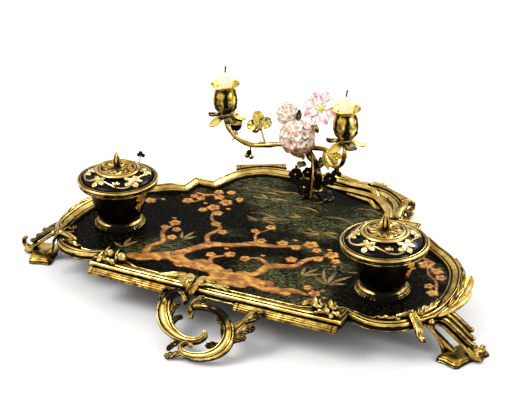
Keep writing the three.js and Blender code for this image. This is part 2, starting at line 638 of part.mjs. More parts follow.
const stemShares = [
  [[0, 0, 0.24], [-0.03, -0.02, 0.38], [-0.08, -0.04, 0.52]],
  [[0.05, -0.04, 0.22], [0.02, -0.04, 0.36], [-0.07, -0.04, 0.5]],
  [[-0.07, 0.01, 0.22], [-0.04, -0.02, 0.38], [-0.09, -0.04, 0.5]],
];
const stemLeafShares = [[-0.24, 0, 0.21, 0.06], [-0.11, -0.03, 0.22, 0.05], [0.12, -0.02, 0.25, 0.06]];

function stemMound() {
  const { moundRadius: r, moundHeight: h, stud } = STAND;
  const bore = stud + CLEAR;
  const rocky = (angle, radius) =>
    radius > 2 * bore ? 0.09 * r * Math.cos(5 * angle) + 0.03 * r * Math.sin(11 * angle) : 0;
  const outline = [[bore, 0], [r, 0], [1.04 * r, 0.2 * h], [0.85 * r, 0.5 * h], [0.55 * r, 0.8 * h],
    [0.36 * r, h], [bore, h]];
  return turned([...outline, outline[0]], 30, rocky);
}

function stemNut(height) {
  const corners = ovalShares(6).map(([a, b]) => new THREE.Vector2(a, b).multiplyScalar(2.4 * STAND.stud));
  const nut = new THREE.Shape(corners);
  nut.holes.push(new THREE.Path().absarc(0, 0, STAND.stud + CLEAR, 0, 2 * Math.PI, true));
  return solid(new THREE.ExtrudeGeometry(nut, { depth: height, bevelEnabled: false, curveSegments: 8 }));
}

// A leaf on the stems, from its root out and over.
const stemLeaf = ([x, y, z, size]) =>
  sweep([[0.1 * x, 0.5 * y, z - size], [0.5 * x, y, z], [x, y - 0.02, z - 0.01]].map(fromStem),
    [0.2, 1, 0.2].map((share) => share * size * BRANCH.size), 0.2 * size * BRANCH.size, leafShares, 4, UP);

function stemTrunk() {
  const { moundRadius: r, moundHeight: h, stud } = STAND;
  const { x, y } = standFoot;
  const seat = TRAY.top + h;
  const starts = ovalShares(3).map(([a, b]) => v3(x + 0.8 * stud * a, y + 0.8 * stud * b, seat + stud));
  const stems = stemShares.map((route, i) =>
    rod([starts[i], ...route.map(fromStem)], STEM.radius * (1 - 0.2 * i), 6, 6, BACK));
  const run = TRAY.thickness + h + 2.8 * stud;
  const studRod = new THREE.CylinderGeometry(stud, stud, run, 16).rotateX(Math.PI / 2).translate(
    x, y, seat + stud - run / 2);
  const collar = new THREE.CylinderGeometry(0.34 * r, 0.34 * r, stud, 16).rotateX(Math.PI / 2).translate(
    x, y, seat + stud / 2);
  const stalks = BLOOMS.map((bloom) => stalk(bloom, STEM.stalkRadius, 0));
  const knop = ball(BRANCH.knop, knopCentre, 8);
  return join([...stems, solid(studRod), solid(collar), knop, ...stalks, ...stemLeafShares.map(stemLeaf)]);
}

function makeStem() {
  const nutHeight = 1.6 * STAND.stud;
  const mound = piece("stem_mound", stemMound(), GILT);
  mound.position.copy(standFoot);
  const nut = piece("stem_nut", stemNut(nutHeight), GILT);
  nut.position.copy(standFoot).setZ(TRAY.top - TRAY.thickness - nutHeight);
  piece("stem_trunk", stemTrunk(), GILT);
}

const BLOOMS = [
  { name: "flower_ball_large", seat: [-0.135, -0.12, 0.71], root: [-0.08, -0.04, 0.54] },
  { name: "flower_ball_small", seat: [-0.24, -0.1, 0.88], root: [-0.09, -0.04, 0.55] },
  { name: "flower_lily", seat: [0.07, -0.09, 0.97], root: [-0.07, -0.04, 0.54] },
];

// A rounded head of florets: one ball whose surface swells over evenly spread florets.
function floretBall(radius, florets, detail) {
  const geometry = new THREE.IcosahedronGeometry(radius, detail);
  const golden = Math.PI * (3 - Math.sqrt(5));
  const heads = Array.from({ length: florets }, (_, i) => {
    const z = 1 - (2 * (i + 0.5)) / florets;
    const ringShare = Math.sqrt(1 - z * z);
    return v3(ringShare * Math.cos(golden * i), ringShare * Math.sin(golden * i), z);
  });
  const place = geometry.attributes.position;
  const point = v3();
  for (let i = 0; i < place.count; i++) {
    point.fromBufferAttribute(place, i);
    const facing = Math.max(...heads.map((head) => head.dot(point) / radius));
    const swell = 0.8 + 0.2 * THREE.MathUtils.smoothstep(facing, 0.82, 1);
    point.multiplyScalar(swell);
    place.setXYZ(i, point.x, point.y, point.z);
  }
  return geometry;
}

function lilyHead(radius) {
  const petals = Array.from({ length: 8 }, (_, i) => {
    const angle = (2 * Math.PI * i) / 8;
    const out = (share, lift) =>
      v3(share * Math.cos(angle), share * Math.sin(angle), lift).multiplyScalar(radius);
    const halfWidths = [0.04, 0.14, 0.24, 0.05].map((share) => share * radius);
    return sweep([out(0.14, 0.04), out(0.4, 0.1), out(0.72, 0.22), out(1, 0.2)], halfWidths,
      BLOOM.petalThickness / 2, petalShares, 3, UP);
  });
  return join([...petals, ball(0.22 * radius, v3(0, 0, 0.06 * radius), 8)]);
}

// Stalk of one bloom, from the knop into the head.
function stalk({ seat, root }, radius, past) {
  const [start, end] = [root, seat].map(fromStem);
  const bow = start.clone().lerp(end, 0.5).add(v3(0, 0, BRANCH.radius));
  const tip = end.clone().addScaledVector(end.clone().sub(start).normalize(), past);
  return rod([start, bow, tip], radius, 5, 4, BACK);
}

function makeBlooms() {
  const stalkSpace = join(BLOOMS.map((bloom) => stalk(bloom, STEM.stalkRadius + CLEAR, CLEAR)));
  const armSpace = CUPS.map((cup) => rod(armRoute(cup), BRANCH.radius + CLEAR, 8, 14, BACK));
  const stemSpace = join([ball(BRANCH.knop + 2 * CLEAR, knopCentre, 12), stalkSpace, ...armSpace]);
  const [large, small, lily] = BLOOMS;
  const headOn = (bloom, geometry) => solid(geometry.translate(...fromStem(bloom.seat).toArray()));
  const largeHead = headOn(large, floretBall(BLOOM.ballRadius, 16, 3));
  piece(large.name, largeHead.subtract(stemSpace), PORCELAIN);
  const smallHead = headOn(small, floretBall(BLOOM.smallBallRadius, 12, 3));
  const beside = ball(BLOOM.ballRadius + 2 * CLEAR, fromStem(large.seat), 16);
  piece(small.name, smallHead.subtract(beside).subtract(stalkSpace), PORCELAIN);
  const tilt = new THREE.Matrix4().makeRotationFromEuler(new THREE.Euler(0.9, 0.2, 0));
  const lilySolid = headOn(lily, geometryOf(lilyHead(BLOOM.lilyRadius)).applyMatrix4(tilt));
  piece(lily.name, lilySolid.subtract(stalkSpace), PORCELAIN);
}

const berryShares = {
  left: { seat: [-0.667, -0.15, 0.375], root: [-0.655, -0.15, 0.497] },
  right: { seat: [0.3, -0.15, 0.4], root: [0.285, -0.215, 0.475] },
};

// Three berries that touch each other, hanging on a wire from the arm.
function berries(side) {
  const radius = 0.98 * BRANCH.radius;
  const [seat, root] = [berryShares[side].seat, berryShares[side].root].map(fromStem);
  const cluster = [[-0.9, 0, 0], [0.9, 0, -0.22], [0, 0, 1.36]].map(([x, y, z]) =>
    ball(radius, seat.clone().addScaledVector(v3(x, y, z), radius), 6));
  return [...cluster, rod([seat, root], 0.3 * BRANCH.radius, 6, 2, BACK)];
}

// A leaf along a route, with its half widths as shares of the branch's size.
const armLeaf = (route, widthShares, steps) =>
  sweep(route.map(fromStem), widthShares.map((share) => share * BRANCH.size), BRANCH.radius / 3, leafShares,
    steps, BACK);

// Three-lobed leaf on its stalk, and the bud beside the left cup.
function leftSprigs() {
  const twig = (route, share, sides, steps, reference) =>
    rod(route.map(fromStem), share * BRANCH.radius, sides, steps, reference);
  const lobes = [[-0.035, 0.015], [0, 0.06], [0.035, 0.015]].map(([x, z]) =>
    armLeaf([[0.2 * x - 0.57, -0.11, 0.68], [x - 0.57, -0.115, 0.7 + z], [2.4 * x - 0.57, -0.12, 0.72 + z]],
      [0.02, 0.046, 0.03], 4));
  const budRadius = 2 * BRANCH.radius;
  const bud = new THREE.SphereGeometry(budRadius, 10, 6).scale(1, 1, 1.15).translate(
    ...fromStem([-0.805, -0.14, 0.685]).toArray());
  return [
    twig([[-0.5, -0.12, 0.51], [-0.53, -0.12, 0.6], [-0.565, -0.11, 0.69]], 0.35, 5, 3, BACK),
    ...lobes,
    twig([[-0.78, -0.185, 0.56], [-0.8, -0.16, 0.62], [-0.805, -0.14, 0.67]], 0.5, 6, 3, BACK),
    solid(bud),
    twig([[-0.79, -0.19, 0.56], [-0.84, -0.19, 0.52]], 0.25, 5, 2, UP),
  ];
}

const rightSprigs = () => [
  armLeaf([[0.14, -0.11, 0.57], [0.18, -0.13, 0.49], [0.2, -0.14, 0.4]], [0.015, 0.04, 0.006], 6),
  armLeaf([[0.2, -0.14, 0.54], [0.27, -0.19, 0.6], [0.34, -0.24, 0.6]], [0.015, 0.04, 0.006], 6),
];

function makeArms() {
  const socket = ball(BRANCH.knop + CLEAR, knopCentre, 8);
  const sprigs = { left: leftSprigs, right: rightSprigs };
  for (const place of CUPS) {
    const tube = rod(armRoute(place), BRANCH.radius, 8, 14, BACK);
    const arm = join([tube, ...berries(place.side), ...sprigs[place.side]()]);
    piece(`arm_${place.side}`, arm.subtract(socket), GILT);
    const cup = new THREE.Group();
    cup.position.copy(fromStem(place.seat));
    assembly.add(cup);
    makeCup(place.side, cup);
  }
}

// The five-leaved calyx under a cup.
function calyx() {
  const r = CUP.radius;
  const h = CALYX.height;
  const leaves = Array.from({ length: CALYX.leaves }, (_, i) => {
    const angle = (2 * Math.PI * i) / CALYX.leaves + 0.5;
    const out = (share, lift) => v3(share * r * Math.cos(angle), share * r * Math.sin(angle), lift * h);
    const halfWidths = [0.2, 0.42, 0.36, 0.05].map((share) => share * r);
    return sweep([out(0.25, 0.55), out(0.8, 0.35), out(1.3, 0.3), out(1.75, 0.55)], halfWidths, 0.09 * r,
      petalShares, 3, UP);
  });
  const hub = turned([[0, 0], [0.3 * r, 0], [0.42 * r, 0.5 * h], [0.36 * r, h], [0, h]], 16);
  return join([hub, ...leaves]);
}

function cupBowl() {
  const { radius: r, height: h, bore, floor, lobes, lobeDepth } = CUP;
  const tulip = (angle, radius) =>
    radius > 1.08 * bore ? lobeDepth * (Math.abs(Math.cos((lobes / 2) * angle)) - 1) : 0;
  const outline = [[0, 0], [0.36 * r, 0], [0.72 * r, 0.14 * h], [0.95 * r, 0.34 * h], [r, 0.56 * h],
    [0.93 * r, 0.8 * h], [0.8 * r, h], [bore, h], [bore, floor], [0, floor]];
  return turned(outline, 24, tulip);
}

function dripPan() {
  const bore = CANDLE.radius + CLEAR;
  const { radius: r, height: h, wall } = PAN;
  const dish = [[bore, 0], [0.6 * r, 0], [0.9 * r, 0.55 * h], [r, h], [0.98 * r, h + 0.4 * wall],
    [0.85 * r, 0.55 * h + wall], [0.62 * r, 1.2 * wall], [bore, 1.2 * wall]];
  return turned([...dish, dish[0]], 18);
}

function makeCup(side, cup) {
  const place = (name, body, finish, height) => {
    piece(`${name}_${side}`, body, finish, cup).position.z = height;
  };
  const { radius: r, height: h, wickRadius, wickHeight } = CANDLE;
  const candle = turned([[0, 0], [r, 0], [r, 0.94 * h], [0.86 * r, h], [0, 0.97 * h]], 16);
  const wick = turned([[0, 0], [wickRadius, 0], [0.8 * wickRadius, wickHeight], [0, 1.05 * wickHeight]], 10);
  const candleFoot = CALYX.height + CUP.floor;
  place("calyx", calyx(), GILT, 0);
  place("cup", cupBowl(), GILT, CALYX.height);
  place("drip_pan", dripPan(), GILT, CALYX.height + CUP.height);
  place("candle", candle, WAX, candleFoot);
  place("wick", wick, COTTON, candleFoot + 0.97 * h + CLEAR);
}

function main() {
  makePanel();
  makeRim();
  makeReedBars();
  makeClasps();
  makeSideFeet();
  makeScrollFoot();
  makePots();
  makeStem();
  makeBlooms();
  makeArms();
}

main();

assembly.updateMatrixWorld(true);
const box = new THREE.Box3().setFromObject(assembly, true);
assembly.position.set(-(box.min.x + box.max.x) / 2, -(box.min.y + box.max.y) / 2, -box.min.z);
const group = new THREE.Group();
group.add(assembly);

export default group;
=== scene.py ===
"""Looks of the desk inkstand: gilt bronze, lacquer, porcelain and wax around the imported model.

Lengths are in metres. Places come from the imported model's own boxes; outlines are shares of the
tray's half width and depth, as in the part's source.
"""
import logging
import math
from collections.abc import Callable, Sequence
from dataclasses import dataclass, field
from enum import Enum, StrEnum

import bmesh
import bpy
import numpy as np
from mathutils import Matrix, Vector


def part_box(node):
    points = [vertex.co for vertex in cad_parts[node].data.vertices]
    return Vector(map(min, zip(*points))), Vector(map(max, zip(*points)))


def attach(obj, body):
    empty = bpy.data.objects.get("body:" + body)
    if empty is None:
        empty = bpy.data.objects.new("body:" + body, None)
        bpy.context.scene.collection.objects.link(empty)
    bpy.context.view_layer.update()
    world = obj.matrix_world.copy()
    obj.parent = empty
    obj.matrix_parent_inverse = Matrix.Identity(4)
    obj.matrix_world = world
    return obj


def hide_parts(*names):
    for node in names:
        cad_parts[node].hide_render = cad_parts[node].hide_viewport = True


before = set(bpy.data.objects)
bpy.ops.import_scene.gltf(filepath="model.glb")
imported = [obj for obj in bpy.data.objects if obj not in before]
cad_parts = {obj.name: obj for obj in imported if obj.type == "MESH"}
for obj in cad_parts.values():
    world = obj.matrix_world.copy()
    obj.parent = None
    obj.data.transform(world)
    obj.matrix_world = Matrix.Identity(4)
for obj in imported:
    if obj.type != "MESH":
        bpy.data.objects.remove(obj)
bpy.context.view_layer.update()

logging.basicConfig(level=logging.INFO, format="%(message)s")
log = logging.getLogger("inkstand")

Material = bpy.types.Material
NodeTree = bpy.types.NodeTree
Socket = bpy.types.NodeSocket

MM = 0.001
UP = np.array([0.0, 0.0, 1.0])
BACK = np.array([0.0, 1.0, 0.0])
RIGHT = np.array([1.0, 0.0, 0.0])


class Side(StrEnum):
    """The tray's two halves."""

    LEFT = "left"
    RIGHT = "right"


class Part(StrEnum):
    """The lengths of the tray's outline, from the middle of the front to the middle of the back."""

    FRONT = "front"
    LOBE = "lobe"
    STEP = "step"
    ARCH = "arch"


class Slot(Enum):
    """The record's material slots."""

    GILT = "gilt_bronze"
    LACQUER = "lacquer"
    PORCELAIN = "porcelain"
    WAX = "candle_wax"
    COTTON = "wick_cotton"


SIDES = {Side.LEFT: -1.0, Side.RIGHT: 1.0}


# Nodes


def linear(hex_code: str) -> tuple[float, float, float, float]:
    """Turns an sRGB hex colour to linear light.

    Args:
        hex_code: The colour as #RRGGBB.

    Returns:
        Red, green, blue and an alpha of 1.
    """
    parts = [int(hex_code[i : i + 2], 16) / 255 for i in (1, 3, 5)]
    light = [c / 12.92 if c <= 0.04045 else ((c + 0.055) / 1.055) ** 2.4 for c in parts]
    return (*light, 1.0)


def add_node(tree: NodeTree, kind: str, inputs: dict | Sequence = (), output: int | str | None = 0,
             **settings):
    """Adds one node with its settings, values and links.

    Args:
        tree: The node tree that gets it.
        kind: The node's type name.
        inputs: Values by socket name or number, or in the sockets' order. A value may also be
            the socket that feeds it, or a hex colour.
        output: The output to hand back, by name or number.
        **settings: The node's own properties.

    Returns:
        That output socket, or all of the node's outputs where output is None.
    """
    node = tree.nodes.new(kind)
    for name, value in settings.items():
        setattr(node, name, value)
    for key, value in inputs.items() if isinstance(inputs, dict) else enumerate(inputs):
        if isinstance(value, bpy.types.NodeSocket):
            tree.links.new(value, node.inputs[key])
        else:
            node.inputs[key].default_value = linear(value) if isinstance(value, str) else value
    return node.outputs if output is None else node.outputs[output]


def mottle(tree: NodeTree, size: float, detail: float = 2.0, stretch: Sequence[float] = (1, 1, 1),
           span: Sequence[float] = ()) -> Socket:
    """Uneven tone of a real size, on object coordinates.

    Args:
        tree: The node tree.
        size: The pattern's size in metres.
        detail: The number of finer octaves.
        stretch: How far the pattern is drawn out along each axis.
        span: Where the tone begins and ends to change, and the values at both ends if they
            aren't 0 and 1. Without a span the plain noise is returned.

    Returns:
        The tone.
    """
    place = add_node(tree, "ShaderNodeTexCoord", output="Object")
    scale = tuple(1 / (size * s) for s in stretch)
    mapped = add_node(tree, "ShaderNodeMapping", {"Vector": place, "Scale": scale})
    tone = add_node(tree, "ShaderNodeTexNoise", {"Vector": mapped, "Scale": 1.0, "Detail": detail})
    if not span:
        return tone
    return add_node(tree, "ShaderNodeMapRange", (tone, *span), interpolation_type="SMOOTHSTEP")


# Finishes


@dataclass(frozen=True)
class Finish:
    """What all finishes share: a name, and a material made from the shader's inputs."""

    name: str = ""

    def inputs(self, tree: NodeTree) -> dict:
        """The shader's inputs, as values, hex colours or sockets of the tree."""
        return {}

    def build(self) -> Material:
        """Makes the material.

        Returns:
            The finish on the standard surface shader.
        """
        material = bpy.data.materials.new(self.name)
        material.use_nodes = True
        tree = material.node_tree
        tree.nodes.clear()
        surface = add_node(tree, "ShaderNodeBsdfPrincipled", self.inputs(tree))
        add_node(tree, "ShaderNodeOutputMaterial", {"Surface": surface}, None)
        return material


@dataclass(frozen=True)
class GiltBronze(Finish):
    """Mercury-gilt cast bronze: burnished yellow gold on the high parts, and a dark, dull ground in
    the chasing's lines, with painted shade in its crevices and on faces that look sideways or down."""

    name: str = "mercury_gilt_bronze"
    burnished: str = "#F2D27C"
    matt: str = "#B98E3C"
    # Near-black for the chasing's patina and for painted shade.
    grime_and_shade: str = "#0E0804"
    tone_size: float = 0.014
    chasing_size: float = 0.0011
    crevice_reach: float = 0.005
    crevice_shade_pull: float = 1.3
    side_shade_pull: float = 0.72

    def inputs(self, tree: NodeTree) -> dict:
        """Gold, with patina and painted shade in grooves, and painted shade in crevices and on faces that
        look down.

        Args:
            tree: The material's node tree.

        Returns:
            The shader's inputs.
        """
        tone = mottle(tree, self.tone_size, 3.0, span=(0.36, 0.66))
        # Painted shade: ambient occlusion darkens crevices and the joins between parts.
        reach = {"Distance": self.crevice_reach}
        open_share = add_node(tree, "ShaderNodeAmbientOcclusion", reach, "AO", samples=6)
        closed = add_node(tree, "ShaderNodeMath", (1.0, open_share), operation="SUBTRACT", use_clamp=True)
        crevice_shade = add_node(tree, "ShaderNodeMath", (closed, self.crevice_shade_pull), operation="MULTIPLY")
        groove = add_node(tree, "ShaderNodeAttribute", output="Fac", attribute_name="groove")
        deep = add_node(tree, "ShaderNodeMath", (groove, crevice_shade), operation="ADD")
        # Painted shade: faces that look sideways or down darken, in patches, while faces that look up stay
        # bright.
        normal = add_node(tree, "ShaderNodeNewGeometry", output="Normal")
        upward = add_node(tree, "ShaderNodeSeparateXYZ", (normal,), "Z")
        down = (upward, 0.5, -0.45, 0.0, self.side_shade_pull)
        downward_shade = add_node(tree, "ShaderNodeMapRange", down, interpolation_type="SMOOTHSTEP")
        patches = mottle(tree, self.tone_size, 2.0, (1, 1, 0.6), (0.38, 0.62, 0.25, 1.0))
        sides = add_node(tree, "ShaderNodeMath", (downward_shade, patches), operation="MULTIPLY")
        wear = mottle(tree, self.tone_size / 3, span=(0.3, 0.7, -0.16, 0.16))
        wear_and_shade = add_node(tree, "ShaderNodeMath", (deep, wear), operation="ADD")
        grime_and_shade_sum = add_node(tree, "ShaderNodeMath", (wear_and_shade, sides), operation="ADD")
        # Share of the near-black: patina in the groove values and random wear, plus the painted shade above.
        grime_and_shade_share = add_node(tree, "ShaderNodeMapRange", (grime_and_shade_sum, 0.26, 0.66), interpolation_type="SMOOTHSTEP")
        gold = add_node(tree, "ShaderNodeMix", {0: tone, 6: self.burnished, 7: self.matt}, 2,
                        data_type="RGBA")
        rough = mottle(tree, self.tone_size / 2, span=(0.3, 0.7, 0.2, 0.34))
        dull = add_node(tree, "ShaderNodeMath", (grime_and_shade_share, 0.3), operation="MULTIPLY")
        bare = (grime_and_shade_share, 0.0, 1.0, 1.0, 0.25)
        chased = {"Height": mottle(tree, self.chasing_size, 3.0), "Distance": 0.25 * MM, "Strength": 0.35}
        return {
            "Base Color": add_node(tree, "ShaderNodeMix", {0: grime_and_shade_share, 6: gold, 7: self.grime_and_shade}, 2,
                                   data_type="RGBA"),
            "Metallic": add_node(tree, "ShaderNodeMapRange", bare, interpolation_type="SMOOTHSTEP"),
            "Specular IOR Level": 0.1,
            "Roughness": add_node(tree, "ShaderNodeMath", (rough, dull), operation="ADD", use_clamp=True),
            "Normal": add_node(tree, "ShaderNodeBump", chased),
        }


@dataclass(frozen=True)
class TrayLacquer(Finish):
    """Old polished lacquer on wood: near-black green, clouded with olive dust in drawn-out
    bands, with fine pale scratches. Each row of clear gives a place where the clouds fade out
    to black, the distances at which its clouds begin and are full, and their least share."""

    name: str = "aged_green_black_lacquer"
    ground: str = "#030302"
    cloud: str = "#42442A"
    dust: str = "#A09A68"
    sheen: str = "#D8C48C"
    clear: tuple = ()
    cloud_size: float = 0.05
    streak_size: float = 0.0026

    def inputs(self, tree: NodeTree) -> dict:
        """Black, clouded and streaked, with the clouds faded out round the clear places.

        Args:
            tree: The material's node tree.

        Returns:
            The shader's inputs.
        """
        clouds = mottle(tree, self.cloud_size, 3.0, (2.0, 1, 1), (0.46, 0.64))
        place = add_node(tree, "ShaderNodeTexCoord", output="Object")
        for x, y, z, near, far, least in self.clear:
            away = add_node(tree, "ShaderNodeVectorMath", (place, (x, y, z)), "Value", operation="DISTANCE")
            fade = (away, near, far, least, 1.0)
            share = add_node(tree, "ShaderNodeMapRange", fade, interpolation_type="SMOOTHSTEP")
            clouds = add_node(tree, "ShaderNodeMath", (clouds, share), operation="MULTIPLY")
        streaks = mottle(tree, self.streak_size, 4.0, (3.0, 0.7, 1), (0.4, 0.6))
        olive = add_node(tree, "ShaderNodeMath", (clouds, streaks), operation="MULTIPLY")
        flecks = mottle(tree, self.streak_size / 2.2, 3.0, (3.4, 0.6, 1), (0.56, 0.68))
        dusty = (clouds, 0.0, 1.0, 0.12, 0.8)
        dusted = add_node(tree, "ShaderNodeMapRange", dusty, interpolation_type="SMOOTHSTEP")
        pale = add_node(tree, "ShaderNodeMath", (flecks, dusted), operation="MULTIPLY")
        ground = add_node(tree, "ShaderNodeMix", {0: olive, 6: self.ground, 7: self.cloud}, 2,
                          data_type="RGBA")
        matt = (streaks, 0.0, 1.0, 0.2, 0.45)
        scratched = {"Height": streaks, "Distance": 0.12 * MM, "Strength": 0.3}
        return {
            "Base Color": add_node(tree, "ShaderNodeMix", {0: pale, 6: ground, 7: self.dust}, 2,
                                   data_type="RGBA"),
            "Roughness": add_node(tree, "ShaderNodeMapRange", matt, interpolation_type="SMOOTHSTEP"),
            "Specular IOR Level": 0.015,
            "Specular Tint": self.sheen,
            "Normal": add_node(tree, "ShaderNodeBump", scratched),
        }


@dataclass(frozen=True)
class PotLacquer(Finish):
    """Deep black lacquer, many coats polished to a mirror, browner where it has aged."""

    name: str = "polished_black_lacquer"
    ground: str = "#020201"
    warm: str = "#0F0603"

    def inputs(self, tree: NodeTree) -> dict:
        """Black with brown clouds under a nearly smooth gloss.

        Args:
            tree: The material's node tree.

        Returns:
            The shader's inputs.
        """
        aged = {0: mottle(tree, 0.02, 3.0, span=(0.42, 0.7)), 6: self.ground, 7: self.warm}
        waves = {"Height": mottle(tree, 0.003), "Distance": 0.05 * MM, "Strength": 0.2}
        return {
            "Base Color": add_node(tree, "ShaderNodeMix", aged, 2, data_type="RGBA"),
            "Roughness": mottle(tree, 0.004, 3.0, span=(0.3, 0.7, 0.14, 0.3)),
            "Specular IOR Level": 0.1,
            "Normal": add_node(tree, "ShaderNodeBump", waves),
        }


@dataclass(frozen=True)
class GoldLacquer(Finish):
    """Raised lacquer sprinkled with gold powder: orange gold, rubbed to red-brown at its edges."""

    name: str = "raised_gold_lacquer"
    gold: str = "#DDA33E"
    deep: str = "#935C20"
    edge: str = "#6E2A10"

    def inputs(self, tree: NodeTree) -> dict:
        """Gold powder, rubbed through along brush strokes and edges.

        Args:
            tree: The material's node tree.

        Returns:
            The shader's inputs.
        """
        tone = mottle(tree, 0.007, 4.0, (1.6, 1, 1), (0.36, 0.62))
        speckle = mottle(tree, 0.0007)
        strokes = mottle(tree, 0.0024, 4.0, (2.4, 0.8, 1), (0.52, 0.64, 0.0, 0.62))
        fading = mottle(tree, 0.007, span=(0.3, 0.7, -0.25, 0.25))
        wear = add_node(tree, "ShaderNodeMath", (strokes, fading), operation="ADD")
        groove = add_node(tree, "ShaderNodeAttribute", output="Fac", attribute_name="groove")
        rubbed = add_node(tree, "ShaderNodeMath", (groove, wear), operation="ADD")
        powder = add_node(tree, "ShaderNodeMix", {0: tone, 6: self.gold, 7: self.deep}, 2, data_type="RGBA")
        bare = add_node(tree, "ShaderNodeMapRange", (rubbed, 0.35, 0.95), interpolation_type="SMOOTHSTEP")
        metal, rough = (speckle, 0.35, 0.65, 0.15, 0.6), (speckle, 0.3, 0.7, 0.34, 0.55)
        grains = {"Height": speckle, "Distance": 0.1 * MM, "Strength": 0.4}
        return {
            "Base Color": add_node(tree, "ShaderNodeMix", {0: bare, 6: powder, 7: self.edge}, 2,
                                   data_type="RGBA"),
            "Metallic": add_node(tree, "ShaderNodeMapRange", metal, interpolation_type="SMOOTHSTEP"),
            "Roughness": add_node(tree, "ShaderNodeMapRange", rough, interpolation_type="SMOOTHSTEP"),
            "Normal": add_node(tree, "ShaderNodeBump", grains),
        }


@dataclass(frozen=True)
class Porcelain(Finish):
    """Soft-paste porcelain under a thick clear glaze: white, washed with one enamel colour
    where the groove value rises, as a painter loads the brush at a petal's heart."""

    name: str = "glazed_soft_paste_porcelain"
    glaze: str = "#FCF3E4"
    wash: str = "#CFA78C"
    rust: str = "#A24A22"

    def inputs(self, tree: NodeTree) -> dict:
        """White, washed and then rust where the brush was fully loaded.

        Args:
            tree: The material's node tree.

        Returns:
            The shader's inputs.
        """
        veins = mottle(tree, 0.0024, span=(0.35, 0.7, -0.22, 0.22))
        groove = add_node(tree, "ShaderNodeAttribute", output="Fac", attribute_name="groove")
        load = add_node(tree, "ShaderNodeMath", (groove, veins), operation="ADD")
        thin = add_node(tree, "ShaderNodeMapRange", (load, 0.15, 0.95), interpolation_type="SMOOTHSTEP")
        full = add_node(tree, "ShaderNodeMapRange", (load, 1.1, 1.7), interpolation_type="SMOOTHSTEP")
        washed = add_node(tree, "ShaderNodeMix", {0: thin, 6: self.glaze, 7: self.wash}, 2, data_type="RGBA")
        pooled = {"Height": mottle(tree, 0.0016), "Distance": 0.1 * MM, "Strength": 0.3}
        return {
            "Base Color": add_node(tree, "ShaderNodeMix", {0: full, 6: washed, 7: self.rust}, 2,
                                   data_type="RGBA"),
            "Roughness": mottle(tree, 0.003, span=(0.3, 0.7, 0.12, 0.24)),
            "Subsurface Weight": 0.15,
            "Subsurface Radius": (0.002, 0.001, 0.0008),
            "Coat Weight": 0.4,
            "Coat Roughness": 0.05,
            "Normal": add_node(tree, "ShaderNodeBump", pooled),
        }


@dataclass(frozen=True)
class Wax(Finish):
    """Cast candle wax: ivory, slightly see-through, warmer in soft patches."""

    name: str = "ivory_candle_wax"
    body: str = "#FBF5E0"
    warm: str = "#F9EBBE"

    def inputs(self, tree: NodeTree) -> dict:
        """Ivory that lets light in.

        Args:
            tree: The material's node tree.

        Returns:
            The shader's inputs.
        """
        tone = {0: mottle(tree, 0.012, span=(0.4, 0.7)), 6: self.body, 7: self.warm}
        dents = {"Height": mottle(tree, 0.002), "Distance": 0.1 * MM, "Strength": 0.25}
        return {
            "Base Color": add_node(tree, "ShaderNodeMix", tone, 2, data_type="RGBA"),
            "Roughness": mottle(tree, 0.004, span=(0.3, 0.7, 0.38, 0.5)),
            "Subsurface Weight": 0.35,
            "Subsurface Radius": (0.006, 0.004, 0.002),
            "Normal": add_node(tree, "ShaderNodeBump", dents),
        }


@dataclass(frozen=True)
class InkGlass(Finish):
    """Thick pressed glass for ink, dark with what it has held."""

    name: str = "dark_pressed_glass"
    glass: str = "#9FB8B4"
    stain: str = "#1B2733"

    def inputs(self, tree: NodeTree) -> dict:
        """Clear glass with dark, duller stains.

        Args:
            tree: The material's node tree.

        Returns:
            The shader's inputs.
        """
        stain = mottle(tree, 0.014, 3.0, span=(0.35, 0.65))
        rough = (stain, 0.0, 1.0, 0.06, 0.2)
        ripples = {"Height": mottle(tree, 0.005), "Distance": 0.1 * MM, "Strength": 0.3}
        return {
            "Base Color": add_node(tree, "ShaderNodeMix", {0: stain, 6: self.glass, 7: self.stain}, 2,
                                   data_type="RGBA"),
            "Roughness": add_node(tree, "ShaderNodeMapRange", rough, interpolation_type="SMOOTHSTEP"),
            "Transmission Weight": 0.6,
            "Normal": add_node(tree, "ShaderNodeBump", ripples),
        }


@dataclass(frozen=True)
class CharredCotton(Finish):
    """Plaited cotton wick, burnt black, with grey ash on its twists."""

    name: str = "charred_cotton_wick"
    char: str = "#0B0807"
    ash: str = "#4A4038"

    def inputs(self, tree: NodeTree) -> dict:
        """Black char with ash on the raised strands.

        Args:
            tree: The material's node tree.

        Returns:
            The shader's inputs.
        """
        twist = mottle(tree, 0.0006, 2.0, (1, 1, 0.5), (0.4, 0.7))
        rough = (twist, 0.0, 1.0, 0.7, 0.95)
        strands = {"Height": twist, "Distance": 0.2 * MM, "Strength": 0.6}
        return {
            "Base Color": add_node(tree, "ShaderNodeMix", {0: twist, 6: self.char, 7: self.ash}, 2,
                                   data_type="RGBA"),
            "Roughness": add_node(tree, "ShaderNodeMapRange", rough, interpolation_type="SMOOTHSTEP"),
            "Normal": add_node(tree, "ShaderNodeBump", strands),
        }


@dataclass(frozen=True)
class StudioFloor(Finish):
    """Pale matt paper that the object stands on."""

    name: str = "pale_studio_paper"
    paper: str = "#F4F3F1"
    fibre: str = "#EFEEEB"

    def inputs(self, tree: NodeTree) -> dict:
        """Paper with faint clouds of fibre."""
        tone = {0: mottle(tree, 0.05), 6: self.paper, 7: self.fibre}
        return {"Base Color": add_node(tree, "ShaderNodeMix", tone, 2, data_type="RGBA"), "Roughness": 0.9}


# Curves and shells


